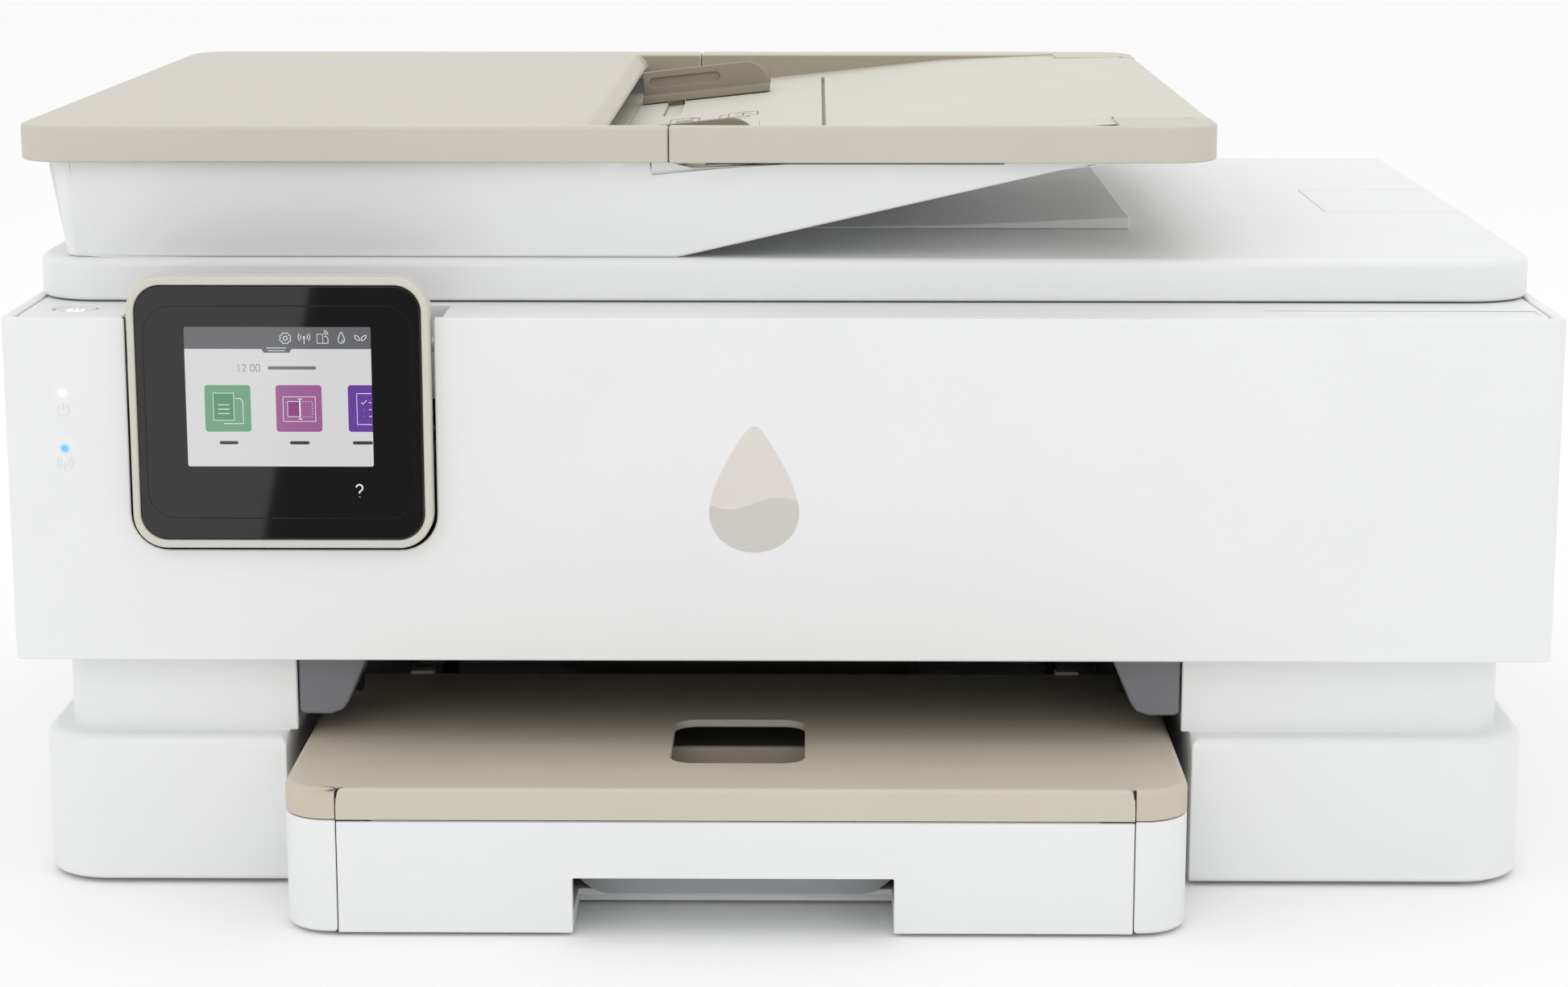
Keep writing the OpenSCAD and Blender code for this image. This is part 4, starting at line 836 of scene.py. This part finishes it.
finish_node("feeder_pick_roller", 0.4, soft_rubber)
drive = merged_copy("feeder_drive_roller", "feeder_drive_tyres")
shaft_end = -111
for vertex in drive.data.vertices:
    vertex.co.y = max(vertex.co.y, shaft_end * MM)
soften(drive, 0.4, 2)
shade(drive, soft_rubber)
stand_for(drive, "feeder_drive_roller")

# ---- Paper tray ----
# The main tray slides in under the bay. White ABS, with soft outer corners and an open front for
# the pull-out wall.

tray = merged_copy("paper_tray", "tray_shell")
soften_some(tray, 1.4, 4, lambda m: abs(m.z - 1.1) < 0.3 and (m.y < -177 or m.x < -143
                                                             or m.x > 117))
soften(tray, 0.35, 2)
shade(tray, white_abs)
stand_for(tray, "paper_tray")

# ---- Pull-out front ----
# The tray's front wall and floor pull out for long paper. The white wall has a grip notch with
# a scooped hood behind it, and a beige band above that lines up with the tray's cover.

left, right = -128.6, 102.2
pull_out = merged_copy("tray_extension", "pull_out_floor")
cut_by(pull_out, prism("old_hood", [(-64, 5.6), (36, 5.6), (36, 21), (-64, 21)], -187.3, -160))
soften(pull_out, 0.4, 3)
shade(pull_out, white_abs)
dress_faces(pull_out, beige_abs, lambda m, n: m.z > 35)
stand_for(pull_out, "tray_extension")
# A touch warmer than the feeder, to match the deck behind it.
deck_front_beige = moulded("pull_out_beige_abs", "CDC6B7", "C7C0B0", 0.48, grain=0.35,
                           relief=0.02)
band_top = 44.5
band = prism("pull_out_band", [(left, 35.25), (right, 35.25), (right, 39.5),
                               (right - 0.75, band_top), (left + 0.75, band_top), (left, 39.5)],
             -191.55, -189.5)
soften_some(band, 1.3, 4, lambda m: m.z > band_top - 0.1 and m.y < -190)
shade(band, deck_front_beige)
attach(band, "tray_extension")
# The scoop is white plastic too, but it is painted pale grey as the shade deep under the wall.
inside = moulded("shaded_white_moulded_abs", "B9BDBF", "B4B8BA", 0.5)
scoop_start, scoop_wide, scoop_top = -65.5, 103.4, 17.3
scoop_line = [(-187.4, scoop_top), (-180, 17.0), (-172, 15.4), (-166.4, 11.6), (-163.8, 6.4),
              (-163.4, 4.4)]
scoop = bpy.data.meshes.new("grip_scoop")
form = bmesh.new()
columns = []
for share in [i / 60 for i in range(61)]:
    x = scoop_start + scoop_wide * share
    side = min(share, 1 - share) * scoop_wide
    deep = 1 - max(0, 1 - side / 15) ** 2.2
    columns.append([form.verts.new((x * MM, y * MM, (scoop_top - (scoop_top - z) * deep) * MM))
                    for y, z in scoop_line])
for a, b in zip(columns, columns[1:]):
    for i in range(len(scoop_line) - 1):
        form.faces.new((a[i], a[i + 1], b[i + 1], b[i]))
bmesh.ops.recalc_face_normals(form, faces=form.faces)
form.to_mesh(scoop)
form.free()
scoop = into_scene("grip_scoop", scoop)
walls = scoop.modifiers.new("wall", "SOLIDIFY")
walls.thickness = 0.9 * MM
bake(scoop)
shade(scoop, inside, 60)
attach(scoop, "tray_extension")
# Black strips behind the tray's seams are painted shade, dark in the narrow gaps.
seam_shade_strips = [prism("seam_backing_" + name, line, -190.6, -189.7) for name, line in (
    ("left", [(left - 0.35, 1.2), (left + 0.4, 1.2), (left + 0.4, 44), (left - 0.35, 44)]),
    ("right", [(right - 0.4, 1.2), (right + 0.35, 1.2), (right + 0.35, 44), (right - 0.4, 44)]),
    ("band", [(left, 34.4), (right, 34.4), (right, 35.5), (left, 35.5)]))]
for strip in seam_shade_strips:
    shade(strip, black_abs)
    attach(strip, "tray_extension")

# ---- Output cover ----
# The deck on the tray that catches the printed pages, with a finger opening and two rear tabs.
# It is moulded in beige ABS and rests on the tray's walls.

# Satin beige, a little warmer than the feeder's.
deck_beige = moulded("output_deck_beige_abs", "CAC1B0", "C3BAA8", 0.48, grain=0.35, relief=0.02)
deck = merged_copy("output_cover", "deck_shell")
lip = prism("lip", [(left - 0.3, 41.9), (right + 0.3, 41.9), (right + 0.3, 46),
                    (left - 0.3, 46)], -193, -189.4)
cut_by(deck, lip)
soften_some(deck, 2.2, 5, lambda m: abs(m.z - band_top) < 0.2
            and (m.x < left - 1 or m.x > right + 1) and m.y < -60)
soften(deck, 0.4, 2)
shade(deck, deck_beige)
stand_for(deck, "output_cover")

# ---- Photo tray ----
# A small tray for photo paper, which slides under the deck. It is moulded in taupe ABS and
# shows through the finger opening.

# A lighter, warmer taupe than the guides, seen through the finger opening.
warm_taupe = moulded("warm_taupe_moulded_abs", "B3A998", "ABA190", 0.5)
finish_node("photo_tray", 0.5, warm_taupe)
pan = prism("photo_tray_floor", rounded(-34, -162, 8, -113, 5), 28.9, 29.7, "Z")
soften(pan, 0.3, 2)
shade(pan, warm_taupe)
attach(pan, "photo_tray")

# ---- Paper stops ----
# Dark ABS stops that line up the paper: one at each side and one at its end. They slide on
# the tray's floor.

for node in ("left_width_guide", "right_width_guide", "length_guide"):
    finish_node(node, 0.4, dark_abs)

# ---- Control panel ----
# The tilting panel: a beige ABS frame round a black glass touchscreen, on a white back. A
# near-black line along the glass edge is the painted shade of a fine groove.

panel = merged_copy("panel_frame", "panel_rim")
soften(panel, 0.7, 4)
shade(panel, pale_beige)
stand_for(panel, "panel_frame")
# Polished cover glass over black ink: nearly black, with clean reflections.
gloss_black = moulded("gloss_black_panel_glass", "1D1D1E", "1A1A1B", 0.05, relief=0.0002)
finish_node("panel_glass", 0.3, gloss_black)
finish_node("panel_back", 0.5, white_abs)
finish_node("panel_display", 0.1, black_abs)
# A near-black line is painted shade in the glued edge of the glass.
painted_groove_shade = moulded("painted_groove_shadow", "050505", "040404", 0.3)
glass_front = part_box("panel_glass")[0][1] / MM
groove = rounded(-187, 116, -108, 179.3, 8.5, 10)
groove = drawn("glass_groove", [groove + groove[:1]], 0.4, painted_groove_shade, upright(glass_front),
               0.02)
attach(groove, "control_panel")

# ---- Touchscreen picture ----
# The lit home screen: a grey status bar with a pull tab, the time, and tiles for the copier,
# the scanner and the shortcuts. Each tone is a liquid-crystal panel lit from behind.


def lit(name, colour, power=1.0):
    """A backlit area of the screen: its colour glows, with faint rows in it."""
    finish = bpy.data.materials.new(name)
    finish.use_nodes = True
    tree = finish.node_tree
    place = add(tree, "ShaderNodeTexCoord").outputs["Object"]
    rows = add(tree, "ShaderNodeTexWave", [("Vector", place)], wave_type="BANDS",
               bands_direction="Z")
    rows.inputs["Scale"].default_value = 1 / (1.2 * MM)
    level = add(tree, "ShaderNodeMapRange", [("Value", rows.outputs["Fac"])])
    level.inputs["To Min"].default_value = power * 0.97
    level.inputs["To Max"].default_value = power * 1.03
    shader = tree.nodes["Principled BSDF"]
    shader.inputs["Base Color"].default_value = linear("0C0C0C")
    shader.inputs["Roughness"].default_value = 0.12
    shader.inputs["Emission Color"].default_value = linear(colour)
    tree.links.new(level.outputs["Result"], shader.inputs["Emission Strength"])
    return finish


def on_screen(piece):
    """Rides on the panel as part of the lit display."""
    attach(piece, "control_panel")


def area(name, outline, layer, finish):
    """A filled shape on this layer of the screen."""
    front = glass_front - 0.02 - 0.02 * layer
    piece = prism(name, outline, front, front + 0.018)
    shade(piece, finish)
    on_screen(piece)


def ink_lines(name, paths, width, layer, finish):
    """Thin lines on this layer of the screen."""
    on_screen(drawn(name, paths, width, finish,
                    upright(glass_front - 0.012 - 0.02 * layer), 0.012))


screen_pale = lit("screen_pale_grey", "D4D4D5")
bar_grey = lit("screen_status_grey", "66676A")
lit_mark = lit("screen_white_lines", "EDEFEF")
text_grey = lit("screen_text_grey", "77787A")
label_grey = lit("screen_label_grey", "3E3F41")
area("screen_field", rounded(-174.9, 131.6, -120.2, 173.1, 0.6), 0, screen_pale)
area("screen_status_bar", rounded(-174.9, 166.6, -120.2, 173.1, 0.6, only=(0, 0, 1, 1)), 1,
     bar_grey)
area("screen_pull_tab", [(-152.4, 166.7), (-151.6, 165.5), (-144.2, 165.5), (-143.4, 166.7)], 1,
     bar_grey)
ink_lines("screen_tab_lines", [[(-150.9, 166.9), (-144.9, 166.9)],
                               [(-150.4, 166.1), (-145.4, 166.1)]], 0.2, 2, lit_mark)
gear = [(-145.2 + r * math.cos(a), 169.8 + r * math.sin(a)) for a, r in
        [(math.radians(i * 15), 1.7 if i % 3 else 1.3) for i in range(24)]]
ink_lines("screen_gear", [gear + gear[:1], arc(-145.2, 169.8, 0.6, 0, 360)], 0.22, 2, lit_mark)
waves = [arc(-139.7, 170.1, r, s - 40, s + 40, 8) for r in (1.0, 1.7) for s in (0, 180)]
ink_lines("screen_antenna", waves + [arc(-139.7, 170.1, 0.25, 0, 360, 8),
                                     [(-139.7, 170.1), (-139.7, 168.1)]], 0.22, 2, lit_mark)
ink_lines("screen_copier", [
    [(-135.9, 168.3), (-135.9, 171), (-134.2, 171), (-134.2, 168.3), (-135.9, 168.3)],
    [(-133.8, 170.4), (-133.2, 170.4), (-132.7, 169.8), (-132.7, 168.3), (-134.2, 168.3)],
    arc(-134.1, 170.6, 0.9, 10, 80, 6), arc(-134.1, 170.6, 1.5, 10, 80, 6)], 0.22, 2, lit_mark)
small_drop = drop_outline(-128.8, 169.4, 1.05, 3.3, 24)
ink_lines("screen_drop", [small_drop + small_drop[:1], arc(-128.8, 169.4, 0.5, -90, 0, 6)],
          0.22, 2, lit_mark)
leaf = arc(-124.9, 169.2, 1.5, 0, 75, 8) + arc(-123.4, 170.6, 1.5, 180, 255, 8)
leaf_b = [(-246.6 - x + 0.2, z) for x, z in leaf]
ink_lines("screen_leaves", [leaf + leaf[:1], leaf_b + leaf_b[:1]], 0.22, 2, lit_mark)

digits = {"1": [[(0, 1.6), (0.5, 2), (0.5, 0)]],
          "2": [[(0, 1.7), (0.25, 2), (0.75, 2), (1, 1.7), (1, 1.25), (0, 0), (1, 0)]],
          "0": [[(0.2, 0), (0, 0.4), (0, 1.6), (0.2, 2), (0.8, 2), (1, 1.6), (1, 0.4), (0.8, 0),
                 (0.2, 0)]], ":": [[(0.2, 0.5), (0.2, 0.6)], [(0.2, 1.4), (0.2, 1.5)]]}
clock = []
for glyph, start in zip("12:00", (0, 1.5, 3.1, 4.0, 5.6)):
    clock += [[(-159.6 + start + x, 160 + y) for x, y in line] for line in digits[glyph]]
ink_lines("screen_clock", clock, 0.26, 2, text_grey)
area("screen_date_bar", rounded(-150.6, 160.5, -136.4, 161.5, 0.49), 1, text_grey)

tiles = (("copy", -169.4, -155.9, "709F81"), ("scan", -148.5, -135, "9A5F92"),
         ("list", -127.3, -120.2, "66409A"))
for name, left_edge, right_edge, tone in tiles:
    whole = (1, 1, 1, 1) if right_edge < -121 else (1, 0, 0, 1)
    area("screen_tile_" + name, rounded(left_edge, 142, right_edge, 155.9, 0.9, only=whole), 1,
         lit("screen_" + name + "_tile", tone))
area("screen_page_shade", rounded(-166.9, 145.4, -160.9, 153.5, 0.4), 2,
     lit("screen_deep_green", "57926F"))
ink_lines("screen_two_pages", [
    [(-166.9, 145.4), (-160.9, 145.4), (-160.9, 153.5), (-166.9, 153.5), (-166.9, 145.4)],
    [(-160.3, 151.9), (-159, 151.9), (-158.2, 151.1), (-158.2, 144.4), (-164, 144.4)],
    [(-165.6, 150), (-162.2, 150)], [(-165.6, 148.7), (-162.2, 148.7)],
    [(-165.6, 147.4), (-162.2, 147.4)]], 0.24, 3, lit_mark)
dashes = [[(x, z), (x + 0.25, z)] for x in (-140.6, -139.8, -139, -138.2) for z in (151, 146.5)]
dashes += [[(-137.8, z), (-137.8, z + 0.25)] for z in (147.2, 148, 148.8, 149.6, 150.4)]
area("screen_scan_shade", rounded(-145.1, 146.5, -141.6, 151, 0.1), 2,
     lit("screen_deep_purple", "8A4680"))
ink_lines("screen_scan_frame", [
    [(-146.4, 145.1), (-136.9, 145.1), (-136.9, 152.4), (-146.4, 152.4), (-146.4, 145.1)],
    [(-145.1, 146.5), (-141.6, 146.5), (-141.6, 151), (-145.1, 151), (-145.1, 146.5)],
    [(-141.4, 145.8), (-141.4, 151.8)], [(-142, 151.8), (-140.8, 151.8)],
    [(-142, 145.8), (-140.8, 145.8)]] + dashes, 0.24, 3, lit_mark)
ink_lines("screen_check_list", [
    [(-120.4, 153.4), (-124.7, 153.4), (-124.7, 144.2), (-120.4, 144.2)],
    [(-123.4, 150.8), (-122.9, 150.2), (-121.9, 151.4)], [(-121.2, 150.7), (-120.4, 150.7)],
    [(-122.7, 148.6), (-122.6, 148.6)], [(-121.2, 148.6), (-120.4, 148.6)],
    [(-122.7, 146.6), (-122.6, 146.6)], [(-121.2, 146.6), (-120.4, 146.6)]], 0.24, 3, lit_mark)
for name, start, stop in (("a", -165.4, -159.9), ("b", -144.7, -138.9), ("c", -126.2, -120.3)):
    area("screen_label_" + name, rounded(start, 138.2, stop, 139.2, 0.48), 1, label_grey)
ink_lines("help_mark", [arc(-124.6, 125.2, 0.95, 170, -50, 12) + [(-124.6, 124.0),
                                                                 (-124.6, 123.5)],
                        [(-124.6, 122.5), (-124.6, 122.4)]], 0.5, 0, lit_mark)

# ---- Studio ----
# A plain pale floor, even white surroundings and two soft boxes, with a black card that only
# the panel's gloss picks up.

floor = into_scene("floor", bpy.data.meshes.new("floor"))
form = bmesh.new()
bmesh.ops.create_grid(form, x_segments=1, y_segments=1, size=8)
form.to_mesh(floor.data)
form.free()
shade(floor, moulded("pale_floor", "FAFAFA", "F8F8F8", 0.9, patch=900))

world = bpy.data.worlds.new("studio")
scene.world = world
world.use_nodes = True
world.node_tree.nodes["Background"].inputs[0].default_value = (1, 1, 1, 1)
world.node_tree.nodes["Background"].inputs[1].default_value = 1.0
scene.view_settings.view_transform = "Standard"


def softbox(name, place, aim, width, height, power):
    """A rectangular studio light that looks at a point."""
    lamp = bpy.data.lights.new(name, "AREA")
    lamp.shape = "RECTANGLE"
    lamp.size = width
    lamp.size_y = height
    lamp.energy = power
    light = bpy.data.objects.new(name, lamp)
    scene.collection.objects.link(light)
    light.location = place
    light.rotation_euler = (Vector(aim) - Vector(place)).to_track_quat("-Z", "Y").to_euler()


softbox("key_light", (-0.5, -1.9, 1.3), (0, 0, 0.1), 1.4, 1.0, 3.0)
softbox("top_light", (0.1, 0.2, 1.9), (0, 0, 0.1), 1.8, 1.8, 3.0)

card = prism("black_card", [(-212.7, 0), (-40, 0), (-40, 200), (-170.2, 200)], -450, -448)
shade(card, moulded("black_flock", "0A0A0A", "080808", 0.9))
card.visible_camera = card.visible_diffuse = card.visible_shadow = False
card.visible_transmission = False

camera = bpy.data.objects.new("camera", bpy.data.cameras.new("camera"))
scene.collection.objects.link(camera)
camera.data.lens = 77.55
camera.data.sensor_width = 36
camera.location = (0.0096, -1.1277, 0.3223)
tilted_down, turned_left = 11.509, 0.529
camera.rotation_euler = (math.radians(90 - tilted_down), 0, math.radians(turned_left))
scene.camera = camera
